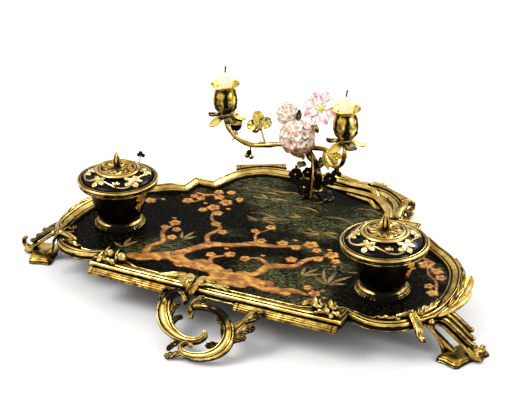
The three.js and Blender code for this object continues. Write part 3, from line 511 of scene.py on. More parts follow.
def catmull(points: Sequence[Sequence[float]], count: int) -> np.ndarray:
    """Even steps along a smooth curve through points.

    Args:
        points: The points that it passes.
        count: How many points to return.

    Returns:
        The curve's points, one row each.
    """
    rows = np.asarray(points, float)
    padded = np.vstack([2 * rows[0] - rows[1], rows, 2 * rows[-1] - rows[-2]])
    t = np.linspace(0, len(rows) - 1, count)
    low = np.minimum(t.astype(int), len(rows) - 2)
    w = (t - low)[:, None]
    p0, p1, p2, p3 = (padded[low + k] for k in range(4))
    return 0.5 * (
        2 * p1 + (p2 - p0) * w + (2 * p0 - 5 * p1 + 4 * p2 - p3) * w**2 + (3 * p1 - p0 - 3 * p2 + p3) * w**3
    )


def unit(rows: np.ndarray) -> np.ndarray:
    """Each row at length 1."""
    length = np.linalg.norm(rows, axis=-1, keepdims=True)
    return rows / np.maximum(length, 1e-12)


def level(angle: float) -> np.ndarray:
    """The level way at an angle from the x axis, in radians."""
    return np.array([math.cos(angle), math.sin(angle), 0.0])


def resample(values: Sequence[float], count: int) -> np.ndarray:
    """Values spread evenly over a new count of steps."""
    return np.interp(np.linspace(0, 1, count), np.linspace(0, 1, len(values)), values)


@dataclass
class Shell:
    """One closed surface: points, faces, and a groove value for each point: its depth in the relief, and in
    places painted shade.
    """

    points: np.ndarray
    faces: list[tuple[int, ...]]
    groove: np.ndarray

    def moved(self, turn: Sequence = np.eye(3), shift: Sequence[float] = (0, 0, 0)) -> "Shell":
        """A copy, turned by a 3 by 3 matrix and then shifted."""
        points = self.points @ np.asarray(turn, float).T + np.asarray(shift, float)
        return Shell(points, self.faces, self.groove)

    def shaded(self, more: float, share: float = 1.0) -> "Shell":
        """The shell itself, with its groove values scaled by a share and raised, from 0 to 1."""
        self.groove[:] = np.clip(share * self.groove + more, 0, 1)
        return self


def grid_shell(rings: np.ndarray, groove: np.ndarray | float = 0.0, loop: bool = False) -> Shell:
    """Rings of points joined into a closed tube.

    Args:
        rings: Rings by points by 3.
        groove: One value, or one for each point.
        loop: Whether the last ring joins the first, in place of two ends.

    Returns:
        The shell.
    """
    count, width = rings.shape[:2]
    faces: list[tuple[int, ...]] = []
    for r in range(count if loop else count - 1):
        here, there = r * width, ((r + 1) % count) * width
        faces += [(here + k, here + (k + 1) % width, there + (k + 1) % width, there + k)
                  for k in range(width)]
    if not loop:
        faces.append(tuple(range(width - 1, -1, -1)))
        faces.append(tuple(range((count - 1) * width, count * width)))
    shades = np.broadcast_to(np.asarray(groove, float), rings.shape[:2]).ravel()
    return Shell(rings.reshape(-1, 3), faces, shades.copy())


def oval(sides: int) -> np.ndarray:
    """A round section of half width and half height 1."""
    angle = np.linspace(0, 2 * np.pi, sides, endpoint=False)
    return np.stack([np.cos(angle), np.sin(angle)], 1)


def sweep(route: Sequence, half_widths: Sequence[float], half_heights: Sequence[float], steps: int = 24,
          section: np.ndarray | None = None, groove: np.ndarray | float = 0.0,
          reference: np.ndarray = UP) -> Shell:
    """A section carried along a smooth route.

    Args:
        route: The points that the route passes.
        half_widths: Half widths along it.
        half_heights: Half heights along it.
        steps: How many rings.
        section: Points of shares across and up, a round one if none.
        groove: Depth in the relief of each point of the section.
        reference: The way that a section's height mostly faces.

    Returns:
        The shell.
    """
    shape = oval(12) if section is None else section
    line = catmull(route, steps)
    tangent = unit(np.gradient(line, axis=0))
    side = unit(np.cross(reference, tangent))
    lift = np.cross(tangent, side)
    wide, high = resample(half_widths, steps), resample(half_heights, steps)
    rings = (
        line[:, None]
        + side[:, None] * (wide[:, None, None] * shape[None, :, :1])
        + lift[:, None] * (high[:, None, None] * shape[None, :, 1:])
    )
    return grid_shell(rings, np.broadcast_to(np.asarray(groove, float), rings.shape[:2]))


def turned(profile: Sequence, segments: int,
           ripple: Callable[[np.ndarray, np.ndarray, np.ndarray], np.ndarray] | None = None,
           groove: Sequence[float] | float = 0.0) -> Shell:
    """A turned piece about the z axis.

    Args:
        profile: Radius and height of each point, around the section.
        segments: Facets round the axis.
        ripple: How far the radius grows at angles, radii and heights.
        groove: One value, or one for each point of the profile.

    Returns:
        The shell.
    """
    rows = np.asarray(profile, float)
    angle = np.linspace(0, 2 * np.pi, segments, endpoint=False)[:, None]
    radius = np.repeat(rows[None, :, 0], segments, 0)
    height = np.repeat(rows[None, :, 1], segments, 0)
    if ripple:
        radius = np.where(radius > 0, radius + ripple(angle, radius, height), 0)
    rings = np.stack([radius * np.cos(angle), radius * np.sin(angle), height], -1)
    return grid_shell(rings, np.broadcast_to(np.asarray(groove, float), rings.shape[:2]), loop=True)


def ball(radius: float, centre: Sequence[float], sides: int = 16, squash: Sequence[float] = (1, 1, 1),
         groove: float = 0.0) -> Shell:
    """A ball, or an egg where squash stretches it.

    Args:
        radius: Its radius.
        centre: Its middle.
        sides: Facets round it.
        squash: Stretch along each axis.
        groove: Its groove value.

    Returns:
        The shell.
    """
    angle = np.linspace(-np.pi / 2, np.pi / 2, sides // 2 + 1)
    shape = turned(np.stack([np.cos(angle).round(9), np.sin(angle)], 1), sides, groove=groove)
    return shape.moved(np.diag(np.asarray(squash, float) * radius), centre)


def piece(name: str, shells: Sequence[Shell], material: Material, replaced: Sequence[str] = (),
          body: str = "tray", sharp: float = 40.0) -> None:
    """Joins shells into one named piece that rides on a body.

    Args:
        name: The piece's name.
        shells: Its closed surfaces, in the shared frame.
        material: Its finish.
        replaced: The CAD nodes that it stands for.
        body: The body that it moves with.
        sharp: Edges that turn by more than this many degrees stay sharp.
    """
    offsets = np.cumsum([0] + [len(s.points) for s in shells[:-1]])
    faces = [tuple(int(i + o) for i in f) for s, o in zip(shells, offsets) for f in s.faces]
    mesh = bpy.data.meshes.new(name)
    mesh.from_pydata(np.vstack([s.points for s in shells]).tolist(), [], faces)
    layer = mesh.attributes.new("groove", "FLOAT", "POINT")
    layer.data.foreach_set("value", np.concatenate([s.groove for s in shells]).astype(np.float32))
    tidy = bmesh.new()
    tidy.from_mesh(mesh)
    bmesh.ops.remove_doubles(tidy, verts=tidy.verts, dist=1e-7)
    bmesh.ops.dissolve_degenerate(tidy, edges=tidy.edges, dist=1e-8)
    bmesh.ops.recalc_face_normals(tidy, faces=tidy.faces)
    tidy.to_mesh(mesh)
    tidy.free()
    mesh.shade_smooth()
    mesh.set_sharp_from_angle(angle=math.radians(sharp))
    mesh.materials.append(material)
    item = bpy.data.objects.new(name, mesh)
    bpy.context.scene.collection.objects.link(item)
    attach(item, body)
    if replaced:
        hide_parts(*replaced)
    log.info("%s: %d faces on %s", item.name, len(mesh.polygons), body)


def centre_of(node: str) -> np.ndarray:
    """The middle of a CAD node's box, at the height of its lowest point."""
    low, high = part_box(node)
    return np.array([(low.x + high.x) / 2, (low.y + high.y) / 2, low.z])


@dataclass(frozen=True)
class Leaf:
    """A chased bronze leaf: lobed along both edges, ridged along its spine and veins.

    Its route gives the spine and its reference the way that its face looks.
    """

    route: Sequence
    half_width: float
    lobes: int = 4
    notch: float = 0.3
    thickness: float = 0.9 * MM
    cup: float = 0.25
    rake: float = 0.1
    reference: tuple = (0, 0, 1)
    blunt: float = 0.75
    veins: float = 1.0

    def shell(self, steps: int = 40, across: int = 13) -> Shell:
        """Builds the leaf's closed shell.

        Args:
            steps: Rings along the spine.
            across: Points across each face.

        Returns:
            The shell.
        """
        t = np.linspace(0, 1, steps)
        s = np.linspace(-1, 1, across)
        raked = np.clip(t[:, None] + self.rake * np.abs(s) ** 1.4 * np.sin(np.pi * t[:, None]), 0, 1)
        line = catmull(self.route, 160)
        tangent = unit(np.gradient(line, axis=0))
        side = unit(np.cross(np.asarray(self.reference, float), tangent))
        lift = np.cross(tangent, side)
        place = (raked * (len(line) - 1)).round().astype(int)
        swell = np.sin(np.pi * np.clip(0.06 + 0.92 * t, 0, 1) ** 0.85) ** self.blunt
        teeth = 1 - self.notch * (1 - np.abs(np.sin(np.pi * t * self.lobes)) ** 0.55)
        half = (self.half_width * swell * teeth)[:, None]
        spine = np.exp(-((s / 0.13) ** 2))
        vein = np.cos(2 * np.pi * (t[:, None] * self.lobes - 0.55 * np.abs(s)))
        chased = 0.55 * spine + 0.28 * self.veins * vein * np.minimum(1, 3 * np.abs(s))
        height = self.cup * half * s**2 + self.thickness * chased
        spread = line[place] + side[place] * (half * s)[..., None]
        face = spread + lift[place] * height[..., None]
        under = spread + lift[place] * (height - self.thickness)[..., None]
        rings = np.concatenate([face, under[:, ::-1]], 1)
        between = np.clip(-vein, 0, 1) * np.minimum(1, 2.5 * np.abs(s)) * 0.42 * self.veins
        deep = np.broadcast_to(between + 0.3 * (np.abs(s) > 0.97), face.shape[:2])
        return grid_shell(rings, np.concatenate([deep, 0.7 + 0 * deep], 1))


# Studio


@dataclass
class Studio:
    """The camera, soft lamps, sky and floor."""

    eye: tuple = (0.4564, -0.8446, 0.5862)
    azimuth: float = 25.97
    down: float = 25.66
    roll: float = -0.15
    focal_px: float = 1294.46
    photo_width_px: float = 512
    sensor_mm: float = 36.0
    floor_radius: float = 30.0
    lamps: tuple = (
        ("key_softbox", (-0.9, -1.0, 1.6), 0.9, 26), ("back_softbox", (0.6, 1.3, 1.3), 0.7, 16),
        ("side_strip", (1.5, -0.2, 0.7), 0.4, 7),
    )
    sky_bands: tuple = (-0.1, 0.75, 0.42, 0.95)

    def camera(self, front: float) -> None:
        """Places the camera, measured from the tray's front edge.

        Args:
            front: The y of the tray's front edge.
        """
        data = bpy.data.cameras.new("photo_camera")
        data.sensor_width = self.sensor_mm
        data.lens = self.focal_px / self.photo_width_px * self.sensor_mm
        data.clip_end = 2 * self.floor_radius
        item = bpy.data.objects.new("photo_camera", data)
        turn = (
            Matrix.Rotation(math.radians(self.azimuth), 4, "Z")
            @ Matrix.Rotation(math.radians(90 - self.down), 4, "X")
            @ Matrix.Rotation(math.radians(self.roll), 4, "Z")
        )
        item.matrix_world = Matrix.Translation((self.eye[0], self.eye[1] + front, self.eye[2])) @ turn
        bpy.context.scene.collection.objects.link(item)
        bpy.context.scene.camera = item

    def lamp(self, name: str, place: Sequence[float], size: float, power: float) -> None:
        """One square area lamp aimed at the tray.

        Args:
            name: The lamp's name.
            place: Where it hangs.
            size: Its side.
            power: Its power in watts.
        """
        data = bpy.data.lights.new(name, "AREA")
        data.size = size
        data.energy = power
        item = bpy.data.objects.new(name, data)
        item.location = place
        item.rotation_euler = (Vector((0, 0, 0.05)) - Vector(place)).to_track_quat("-Z", "Y").to_euler()
        bpy.context.scene.collection.objects.link(item)

    def sky(self) -> None:
        """A white sky that darkens towards the horizon, as a studio's walls do.

        Its bands are the heights where it begins and ends to brighten, and its strength there.
        """
        world = bpy.data.worlds.new("studio_sky")
        world.use_nodes = True
        tree = world.node_tree
        tree.nodes.clear()
        direction = add_node(tree, "ShaderNodeTexCoord", output="Generated")
        height = add_node(tree, "ShaderNodeSeparateXYZ", (direction,), "Z")
        bands = (height, *self.sky_bands)
        strength = add_node(tree, "ShaderNodeMapRange", bands, interpolation_type="SMOOTHSTEP")
        surface = add_node(tree, "ShaderNodeBackground", {"Color": (1, 1, 1, 1), "Strength": strength})
        add_node(tree, "ShaderNodeOutputWorld", {"Surface": surface}, None)
        bpy.context.scene.world = world

    def floor(self) -> None:
        """A wide pale floor under the feet."""
        mesh = bpy.data.meshes.new("studio_floor")
        r = self.floor_radius
        mesh.from_pydata([(-r, -r, 0), (r, -r, 0), (r, r, 0), (-r, r, 0)], [], [(0, 1, 2, 3)])
        mesh.materials.append(StudioFloor().build())
        item = bpy.data.objects.new("studio_floor", mesh)
        bpy.context.scene.collection.objects.link(item)

    def build(self, front: float) -> None:
        """Sets the whole studio up.

        Args:
            front: The y of the tray's front edge.
        """
        self.camera(front)
        self.floor()
        self.sky()
        for row in self.lamps:
            self.lamp(*row)
        bpy.context.scene.view_settings.view_transform = "Standard"


# Tray


def spline_rows(rows: Sequence[Sequence[float]], per_step: int) -> np.ndarray:
    """Rows of shares made finer along a smooth curve through them."""
    return catmull(rows, (len(rows) - 1) * per_step + 1)


@dataclass
class Outline:
    """The tray's outline in plan: rows of outer x and y, inner x and y of the rim, as shares of
    the half width and of the depth, from the middle of the front to the middle of the back."""

    half_width: float = 0.192
    depth: float = 0.265
    per_step: int = 8
    front: float = field(default_factory=lambda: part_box("rim_front")[0].y)
    front_rows: tuple = ((0, 0, 0, 0.049), (0.448, 0.004, 0.406, 0.057), (0.628, 0.008, 0.542, 0.102))
    return_rows: tuple = ((0.628, 0.008, 0.542, 0.102), (0.628, 0.068, 0.578, 0.109))
    lobe_rows: tuple = (
        (0.628, 0.068, 0.578, 0.109), (0.667, 0.057, 0.651, 0.1), (0.729, 0.045, 0.7, 0.091),
        (0.802, 0.053, 0.771, 0.094), (0.865, 0.079, 0.818, 0.113), (0.922, 0.128, 0.859, 0.147),
        (0.969, 0.177, 0.901, 0.185), (0.992, 0.245, 0.927, 0.245), (1, 0.338, 0.932, 0.342),
        (0.979, 0.43, 0.917, 0.415), (0.943, 0.502, 0.885, 0.483), (0.87, 0.57, 0.828, 0.54),
        (0.786, 0.619, 0.755, 0.585), (0.703, 0.672, 0.677, 0.626), (0.635, 0.675, 0.594, 0.649),
    )
    step_rows: tuple = ((0.635, 0.675, 0.594, 0.649), (0.628, 0.755, 0.583, 0.721),
                        (0.521, 0.753, 0.484, 0.719))
    arch_rows: tuple = (
        (0.521, 0.753, 0.484, 0.719), (0.505, 0.808, 0.461, 0.781), (0.469, 0.875, 0.417, 0.853),
        (0.349, 0.951, 0.323, 0.909), (0.18, 0.974, 0.177, 0.921), (0.083, 0.992, 0.078, 0.938),
        (0, 1, 0, 0.943),
    )

    def placed(self, rows: Sequence) -> np.ndarray:
        """Rows of shares as places in metres.

        Args:
            rows: Rows of shares of the half width and the depth, in turn.

        Returns:
            The rows in metres.
        """
        out = np.asarray(rows, float).copy()
        out[:, 0::2] *= self.half_width
        out[:, 1::2] = out[:, 1::2] * self.depth + self.front
        return out

    def run(self, part: Part, sign: float) -> np.ndarray:
        """One length of the rim, as rows of outer x and y, inner x and y.

        Args:
            part: Which length.
            sign: 1 for the right side, -1 for the left one.

        Returns:
            The rows in metres, from the front's middle towards the back's middle.
        """
        lobe = spline_rows(self.lobe_rows, self.per_step)
        rows = {
            Part.FRONT: np.asarray(self.front_rows, float),
            Part.LOBE: np.vstack([self.return_rows, lobe[1:]]),
            Part.STEP: np.asarray(self.step_rows, float),
            Part.ARCH: spline_rows(self.arch_rows, self.per_step),
        }[part]
        out = self.placed(rows)
        out[:, 0::2] *= sign
        return out

    def whole(self, part: Part) -> np.ndarray:
        """A length that crosses the middle of the tray, from left to right."""
        left, right = self.run(part, -1), self.run(part, 1)
        return np.vstack([left[::-1], right[1:]] if part is Part.FRONT else [left, right[::-1][1:]])

    def point(self, x_share: float, y_share: float, height: float) -> np.ndarray:
        """A place over the tray."""
        return np.array([x_share * self.half_width, y_share * self.depth + self.front, height])


@dataclass
class Rim:
    """The moulding round the tray: an outer bead, a wide hollow and an inner bead over a cove."""

    outline: Outline
    top: float = field(default_factory=lambda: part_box("rim_front")[1].z)
    bottom: float = field(default_factory=lambda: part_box("rim_front")[0].z)
    tray_top: float = field(default_factory=lambda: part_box("tray_panel")[1].z)
    joint: float = 0.12 * MM
    sharp: float = 32.0
    skirt: tuple = (
        (0.46, -0.5, 0.9), (0.12, -0.5, 0.9), (0.03, -0.46, 0.7), (-0.015, -0.38, 0.3), (-0.02, -0.28, 0.1),
        (0.01, -0.2, 0.6), (0.08, -0.12, 1.0), (0.1, 0.0, 1.0), (0.08, 0.13, 1.0), (0.03, 0.22, 0.7),
    )
    crown: tuple = (
        (-0.02, 0.3, 0.3), (-0.035, 0.45, 0.05), (-0.02, 0.62, 0.0), (0.02, 0.74, 0.0), (0.05, 0.77, 0.6),
        (0.075, 0.75, 1.0), (0.105, 0.79, 1.0), (0.13, 0.9, 0.3), (0.165, 0.98, 0.0), (0.205, 1.0, 0.0),
        (0.245, 0.95, 0.1), (0.275, 0.84, 0.6), (0.3, 0.8, 0.8), (0.335, 0.81, 0.6), (0.36, 0.84, 0.3),
        (0.42, 0.79, 0.1), (0.52, 0.7, 0.0), (0.62, 0.6, 0.14), (0.69, 0.54, 0.3), (0.72, 0.42, 0.5),
        (0.745, 0.38, 0.75), (0.775, 0.4, 0.6), (0.805, 0.52, 0.3), (0.85, 0.6, 0.0), (0.895, 0.57, 0.0),
        (0.93, 0.44, 0.4), (0.945, 0.26, 1.0), (0.985, 0.24, 0.9), (1.005, 0.14, 0.7), (1.005, 0.01, 1.0),
        (0.46, 0.01, 0.9),
    )

    def height(self, share: np.ndarray) -> np.ndarray:
        """A height from a share of the rim's rise over the tray, negative below it."""
        return self.tray_top + share * (self.top - self.tray_top)

    def length(self, rows: np.ndarray) -> Shell:
        """One cast length of the rim along rows of outer and inner places.

        Args:
            rows: Its stations: outer x and y, inner x and y.

        Returns:
            The shell.
        """
        section = np.array(self.skirt + self.crown)
        ends = rows.copy()
        for end, near in ((0, 1), (-1, -2)):
            way = unit(ends[near].reshape(2, 2) - ends[end].reshape(2, 2))
            ends[end] += (way * self.joint).ravel()
        outer, inner = ends[:, None, :2], ends[:, None, 2:]
        plan = outer + (inner - outer) * section[None, :, :1]
        heights = np.maximum(self.height(section[:, 1]), self.bottom)
        up = np.broadcast_to(heights[None, :, None], (*plan.shape[:2], 1))
        shades = np.broadcast_to(section[:, 2], plan.shape[:2])
        return grid_shell(np.concatenate([plan, up], 2), shades)

    def build(self, gilt: Material, dull: Material) -> None:
        """Makes the six lengths, of which the right lobe takes a darker copy of the gilt with stronger
        painted shade.

        Args:
            gilt: The rim's finish.
            dull: The right lobe's finish: a darker copy of the gilt with stronger painted shade.
        """
        for part in (Part.FRONT, Part.ARCH):
            piece(f"rim_cast_{part}", [self.length(self.outline.whole(part))], gilt, [f"rim_{part}"],
                  sharp=self.sharp)
        for side, sign in SIDES.items():
            for part in (Part.LOBE, Part.STEP):
                shell = self.length(self.outline.run(part, sign))
                finish = dull if (part, side) == (Part.LOBE, Side.RIGHT) else gilt
                piece(f"rim_cast_{part}_{side}", [shell], finish, [f"rim_{part}_{side}"], sharp=self.sharp)


# Ink pots


def new_grower(name: str, sockets: dict[str, str]) -> tuple[NodeTree, bpy.types.NodeOutputs]:
    """Starts a Geometry Nodes tree.

    Args:
        name: The tree's name.
        sockets: The kind of each input, by its name.

    Returns:
        The tree and what its inputs give.
    """
    tree = bpy.data.node_groups.new(name, "GeometryNodeTree")
    tree.interface.new_socket("Geometry", in_out="OUTPUT", socket_type="NodeSocketGeometry")
    for label, kind in sockets.items():
        tree.interface.new_socket(label, in_out="INPUT", socket_type=f"NodeSocket{kind}")
    return tree, add_node(tree, "NodeGroupInput", output=None)


def end_grower(tree: NodeTree, instances: Socket, material: Material) -> NodeTree:
    """Ends a Geometry Nodes tree.

    Args:
        tree: The tree.
        instances: What it has set out.
        material: The finish of it all.

    Returns:
        The tree, whose result is plain geometry.
    """
    real = add_node(tree, "GeometryNodeRealizeInstances", {"Geometry": instances})
    done = add_node(tree, "GeometryNodeSetMaterial", {"Geometry": real, "Material": material})
    add_node(tree, "NodeGroupOutput", (done,), None)
    return tree


def bead_ring(name: str, material: Material) -> NodeTree:
    """A Geometry Nodes tree that sets egg-shaped beads round a circle.

    Args:
        name: The tree's name.
        material: The beads' finish.

    Returns:
        The tree, with the inputs Radius, Height, Bead, Tall and Count.
    """
    sockets = {"Radius": "Float", "Height": "Float", "Bead": "Float", "Tall": "Float", "Count": "Int"}
    tree, given = new_grower(name, sockets)
    circle = add_node(tree, "GeometryNodeMeshCircle", {"Vertices": given["Count"], "Radius": given["Radius"]})
    egg = add_node(tree, "GeometryNodeMeshUVSphere", {"Segments": 10, "Rings": 7, "Radius": given["Bead"]})
    stretch = add_node(tree, "ShaderNodeCombineXYZ", (1.0, 1.0, given["Tall"]))
    tall = add_node(tree, "GeometryNodeTransform", {"Geometry": egg, "Scale": stretch})
    set_out = add_node(tree, "GeometryNodeInstanceOnPoints", {"Points": circle, "Instance": tall})
    lift = add_node(tree, "ShaderNodeCombineXYZ", {2: given["Height"]})
    raised = add_node(tree, "GeometryNodeTransform", {"Geometry": set_out, "Translation": lift})
    return end_grower(tree, raised, material)


def grown(tree: NodeTree, name: str, base: bpy.types.Mesh | None = None, **values) -> bpy.types.Mesh:
    """Runs a Geometry Nodes tree once and keeps its result as a plain mesh.

    Args:
        tree: The tree.
        name: The mesh's name.
        base: The mesh that the tree's Geometry input takes.
        **values: The tree's inputs, with _ for each space in a name.

    Returns:
        The mesh.
    """
    holder = bpy.data.objects.new(name, base or bpy.data.meshes.new(name))
    bpy.context.scene.collection.objects.link(holder)
    modifier = holder.modifiers.new(name, "NODES")
    modifier.node_group = tree
    sockets = {item.name: item.identifier for item in tree.interface.items_tree if item.in_out == "INPUT"}
    for key, value in values.items():
        modifier[sockets[key.replace("_", " ")]] = value
    graph = bpy.context.evaluated_depsgraph_get()
    mesh = bpy.data.meshes.new_from_object(holder.evaluated_get(graph))
    bpy.data.objects.remove(holder)
    return mesh


def shell_of(mesh: bpy.types.Mesh, shift: Sequence[float] = (0, 0, 0), groove: float = 0.0) -> Shell:
    """A plain mesh as a shell, so that it can join others.

    Args:
        mesh: The mesh.
        shift: How far it is moved.
        groove: Its groove value where the mesh holds none.

    Returns:
        The shell.
    """
    points = np.empty(len(mesh.vertices) * 3)
    mesh.vertices.foreach_get("co", points)
    faces = [tuple(p.vertices) for p in mesh.polygons]
    shades = np.full(len(mesh.vertices), groove)
    if "groove" in mesh.attributes:
        mesh.attributes["groove"].data.foreach_get("value", shades)
    return Shell(points.reshape(-1, 3) + np.asarray(shift, float), faces, shades)


@dataclass
class InkPot:
    """A bell-shaped pot on a beaded foot, with its glass liner and its domed, garlanded lid."""

    side: Side
    beads: NodeTree
    facing: float = -64.0
    sprays: tuple = ((-40, 1.15), (38, 1.3), (92, 0.85), (150, 1.0), (205, 0.85), (268, 1.0))
    flowers: tuple = ((2, 1.0),)
    sprig: bool = False
    blossoms: tuple = ((52, 0.78, 1.1), (64, 0.6, 0.9), (50, 0.5, 0.8), (70, 0.82, 0.8), (232, 0.7, 1.1),
                       (244, 0.55, 0.8))
    twigs: tuple = (((58, 0.3), (54, 0.74)), ((58, 0.4), (68, 0.8)), ((238, 0.28), (234, 0.66)),
                    ((238, 0.4), (248, 0.56)))
    foot_radius: float = 24 * MM
    foot_height: float = 9.5 * MM
    body_radius: float = 25 * MM
    height: float = 43 * MM
    wall: float = 1.7 * MM
    floor: float = 15 * MM
    lip_height: float = 6.4 * MM
    seat: float = 3.5 * MM
    lid_bore: float = 33 * MM
    lid_skin: float = 2 * MM
    lid_hollow: float = 30.3 * MM
    lid_rise: float = 9.5 * MM
    boss_radius: float = 20.8 * MM
    boss_height: float = 3.2 * MM
    finial_height: float = 17.6 * MM
    finial_radius: float = 4.2 * MM
    clear: float = 0.3 * MM
    segments: int = 96
    bell: tuple = ((0.78, 0), (0.82, 0.08), (0.9, 0.24), (0.99, 0.48), (1.07, 0.76), (1.14, 1))
    dome: tuple = ((1, 0.12), (0.985, 0.26), (0.94, 0.44), (0.82, 0.66), (0.64, 0.92), (0.6, 1))

    @property
    def place(self) -> np.ndarray:
        """The pot's foot on the tray."""
        return centre_of(f"pot_foot_{self.side}")

    @property
    def edge(self) -> float:
        """The lid's radius."""
        return self.lid_bore - self.clear

    @property
    def lid_top(self) -> float:
        """Height of the lid's flat top over the foot."""
        return self.height + self.seat + self.lid_rise

    def put(self, shells: Sequence[Shell]) -> list[Shell]:
        """Shells shifted from the pot's own frame to the shared one."""
        return [s.moved(shift=self.place) for s in shells]

    @staticmethod
    def shade_darkened(shell: Shell, dark: float, spread: float) -> Shell:
        """A turned shell darkened on the side that faces the camera, as painted shade and reflection that
        leave brighter crescents to each side.

        Args:
            shell: The turned shell.
            dark: The most that a groove value rises.
            spread: Degrees to each side over which the painted shade fades.

        Returns:
            The same shell.
        """
        angle = np.degrees(np.arctan2(shell.points[:, 1], shell.points[:, 0])) - InkPot.facing
        shell.groove[:] = np.clip(shell.groove + dark * np.exp(-((angle / spread) ** 2)), 0, 1)
        return shell

    def foot(self) -> list[Shell]:
        """The gilt foot: a ring of gadroons, a torus and a collar.

        Returns:
            Its shells.
        """
        r, h = self.foot_radius, self.foot_height
        rows = (
            (0, 0, 0.9), (0.95, 0, 0.9), (0.975, 0.04, 0.5), (0.95, 0.1, 1), (0.93, 0.3, 1), (0.9, 0.42, 1),
            (0.93, 0.46, 0.8), (0.95, 0.5, 0.5), (0.94, 0.56, 0.3), (0.9, 0.6, 0.8), (0.89, 0.62, 1),
            (0.9, 0.66, 0.6), (0.89, 0.74, 0.25), (0.86, 0.82, 0.1), (0.82, 0.9, 0.3), (0.78, 0.98, 0.6),
            (0.76, 1.05, 0.6), (0.7, 1.05, 0.6), (0, 1.05, 0.5),
        )
        ring = turned([(a * r, b * h) for a, b, _ in rows], self.segments, groove=[c for _, _, c in rows])
        sizes = {"Radius": 0.95 * r, "Height": 0.24 * h, "Bead": 1.4 * MM, "Tall": 1.55, "Count": 46}
        mesh = grown(self.beads, "gadroons", **sizes)
        # Painted shade and reflection on the front of the foot and its gadroons.
        return [self.shade_darkened(ring, 0.75, 26), self.shade_darkened(shell_of(mesh, groove=0.35), 0.4, 40)]

    def body(self) -> list[Shell]:
        """The lacquered bell, hollow for the liner.

        Returns:
            Its shells.
        """
        size = (self.body_radius, self.height - self.foot_height)
        outer = catmull(self.bell, 26) * size + (0, self.foot_height)
        floor = self.floor - 1.2 * self.wall
        inner = np.stack([outer[:, 0] - self.wall, np.maximum(outer[:, 1], floor)], 1)[::-1]
        profile = np.vstack([[0, self.foot_height], outer, inner, [0, floor]])
        return [turned(profile, self.segments)]

    def lip(self) -> list[Shell]:
        """The gilt double rim that seats the liner and the lid.

        Returns:
            Its shells.
        """
        rows = (
            (26.8, 0, 0.9), (31.0, 0, 0.9), (32, -0.14, 0.5), (34, -0.14, 0.4), (35.8, -0.08, 0.3),
            (36.8, 0.02, 0.0), (37.0, 0.12, 0.0), (36.7, 0.2, 0.3), (36.3, 0.24, 0.9), (36.5, 0.3, 0.5),
            (37.1, 0.34, 0.0), (37.3, 0.42, 0.1), (37.2, 0.5, 0.5), (37.3, 0.6, 0.5), (37.6, 0.68, 0.4),
            (38, 0.74, 0), (38, 0.84, 0), (37.5, 0.94, 0), (36.9, 0.98, 0.2), (36.4, 0.96, 0.2),
            (35.7, 0.88, 1), (35.3, 0.88, 1), (35.0, 0.98, 0.1), (34.6, 1.0, 0), (34.3, 0.94, 0.3),
            (34.0, 0.84, 1), (33.5, 0.84, 0.6), (33.0, 0.82, 0.6), (33.0, self.seat / self.lip_height, 1),
            (26.8, self.seat / self.lip_height, 0.8),
        )
        profile = [(a * MM, self.height + b * self.lip_height) for a, b, _ in rows]
        # Painted shade and reflection on the front of the lip.
        return [self.shade_darkened(turned(profile, self.segments, groove=[c for _, _, c in rows]), 0.22, 45)]

    def lid(self) -> list[Shell]:
        """The lacquered dome, hollow underneath.

        Returns:
            Its shells.
        """
        dome = catmull(self.dome, 24) * (self.edge, self.lid_rise) + (0, self.height + self.seat)
        over, base, skin = self.lid_hollow, self.height + self.seat, self.lid_skin
        under = [
            (0, self.lid_top - skin), (0.6 * over, self.lid_top - 1.15 * skin), (over, base + 1.8 * MM),
            (over, base), (self.edge, base),
        ]
        return [turned(np.vstack([under, dome, [0, self.lid_top]]), self.segments)]

    def finial(self) -> list[Shell]:
        """The chased disc on the lid and its pointed bud.

        Returns:
            Its shells.
        """
        r, h, bud, top = self.boss_radius, self.boss_height, self.finial_radius, self.finial_height
        rows = (
            (0, 0, 1), (0.99, 0, 1), (1.0, 0.2, 0.5), (1.01, 0.5, 0), (0.985, 0.78, 0), (0.94, 0.9, 0),
            (0.89, 0.84, 0), (0.865, 0.66, 1), (0.84, 0.78, 0.4), (0.8, 0.96, 0), (0.76, 0.96, 0),
            (0.73, 0.72, 0.6), (0.7, 0.6, 0.8), (0.5, 0.6, 0.35), (0.3, 0.66, 0.45), (0.22, 0.8, 0.5),
            (0.16, 1.0, 0.3),
        )
        disc = [(a * r, self.lid_top + b * h) for a, b, _ in rows]
        flutes = (
            (0.8, 0.2, 0.6), (0.62, 0.24, 0.5), (0.74, 0.3, 0), (0.92, 0.42, 0), (0.94, 0.54, 0),
            (0.82, 0.7, 0), (0.6, 0.86, 0), (0.4, 0.96, 0), (0.2, 1.02, 0), (0, 1.04, 0),
        )
        tip = [(a * bud, self.lid_top + b * top) for a, b, _ in flutes]
        shades = [c for _, _, c in rows] + [c for _, _, c in flutes]

        waist = self.lid_top + 0.28 * top

        def fluted(angle: np.ndarray, radius: np.ndarray, height: np.ndarray) -> np.ndarray:
            """Five flutes up the bud."""
            return np.where(height > waist, -0.2 * radius * np.abs(np.sin(2.5 * angle)), 0)

        body = turned(disc + tip, 60, fluted, shades)
        high = body.points[:, 2] > waist
        seam = np.abs(np.sin(2.5 * np.arctan2(body.points[:, 1], body.points[:, 0]))) ** 3
        body.groove[high] = 0.9 * seam[high]
        petals = []
        for angle in 2 * np.pi * np.arange(6) / 6:
            for swirl, reach, width in ((0.0, 0.7, 2.6), (0.52, 0.6, 1.9)):
                steps = (
                    (0.16, 0.7, 0), (0.32, 0.95, 0.3), (0.52, 1.0, 0.34), (reach, 0.85, 0.1),
                    (reach - 0.1, 0.85, -0.2),
                )
                route = [level(angle + swirl + c) * a * r + UP * (self.lid_top + b * h) for a, b, c in steps]
                petals.append(Leaf(route, width * MM, 3, 0.25, 0.8 * MM, -0.1).shell(22, 9))
        return [body, *petals]

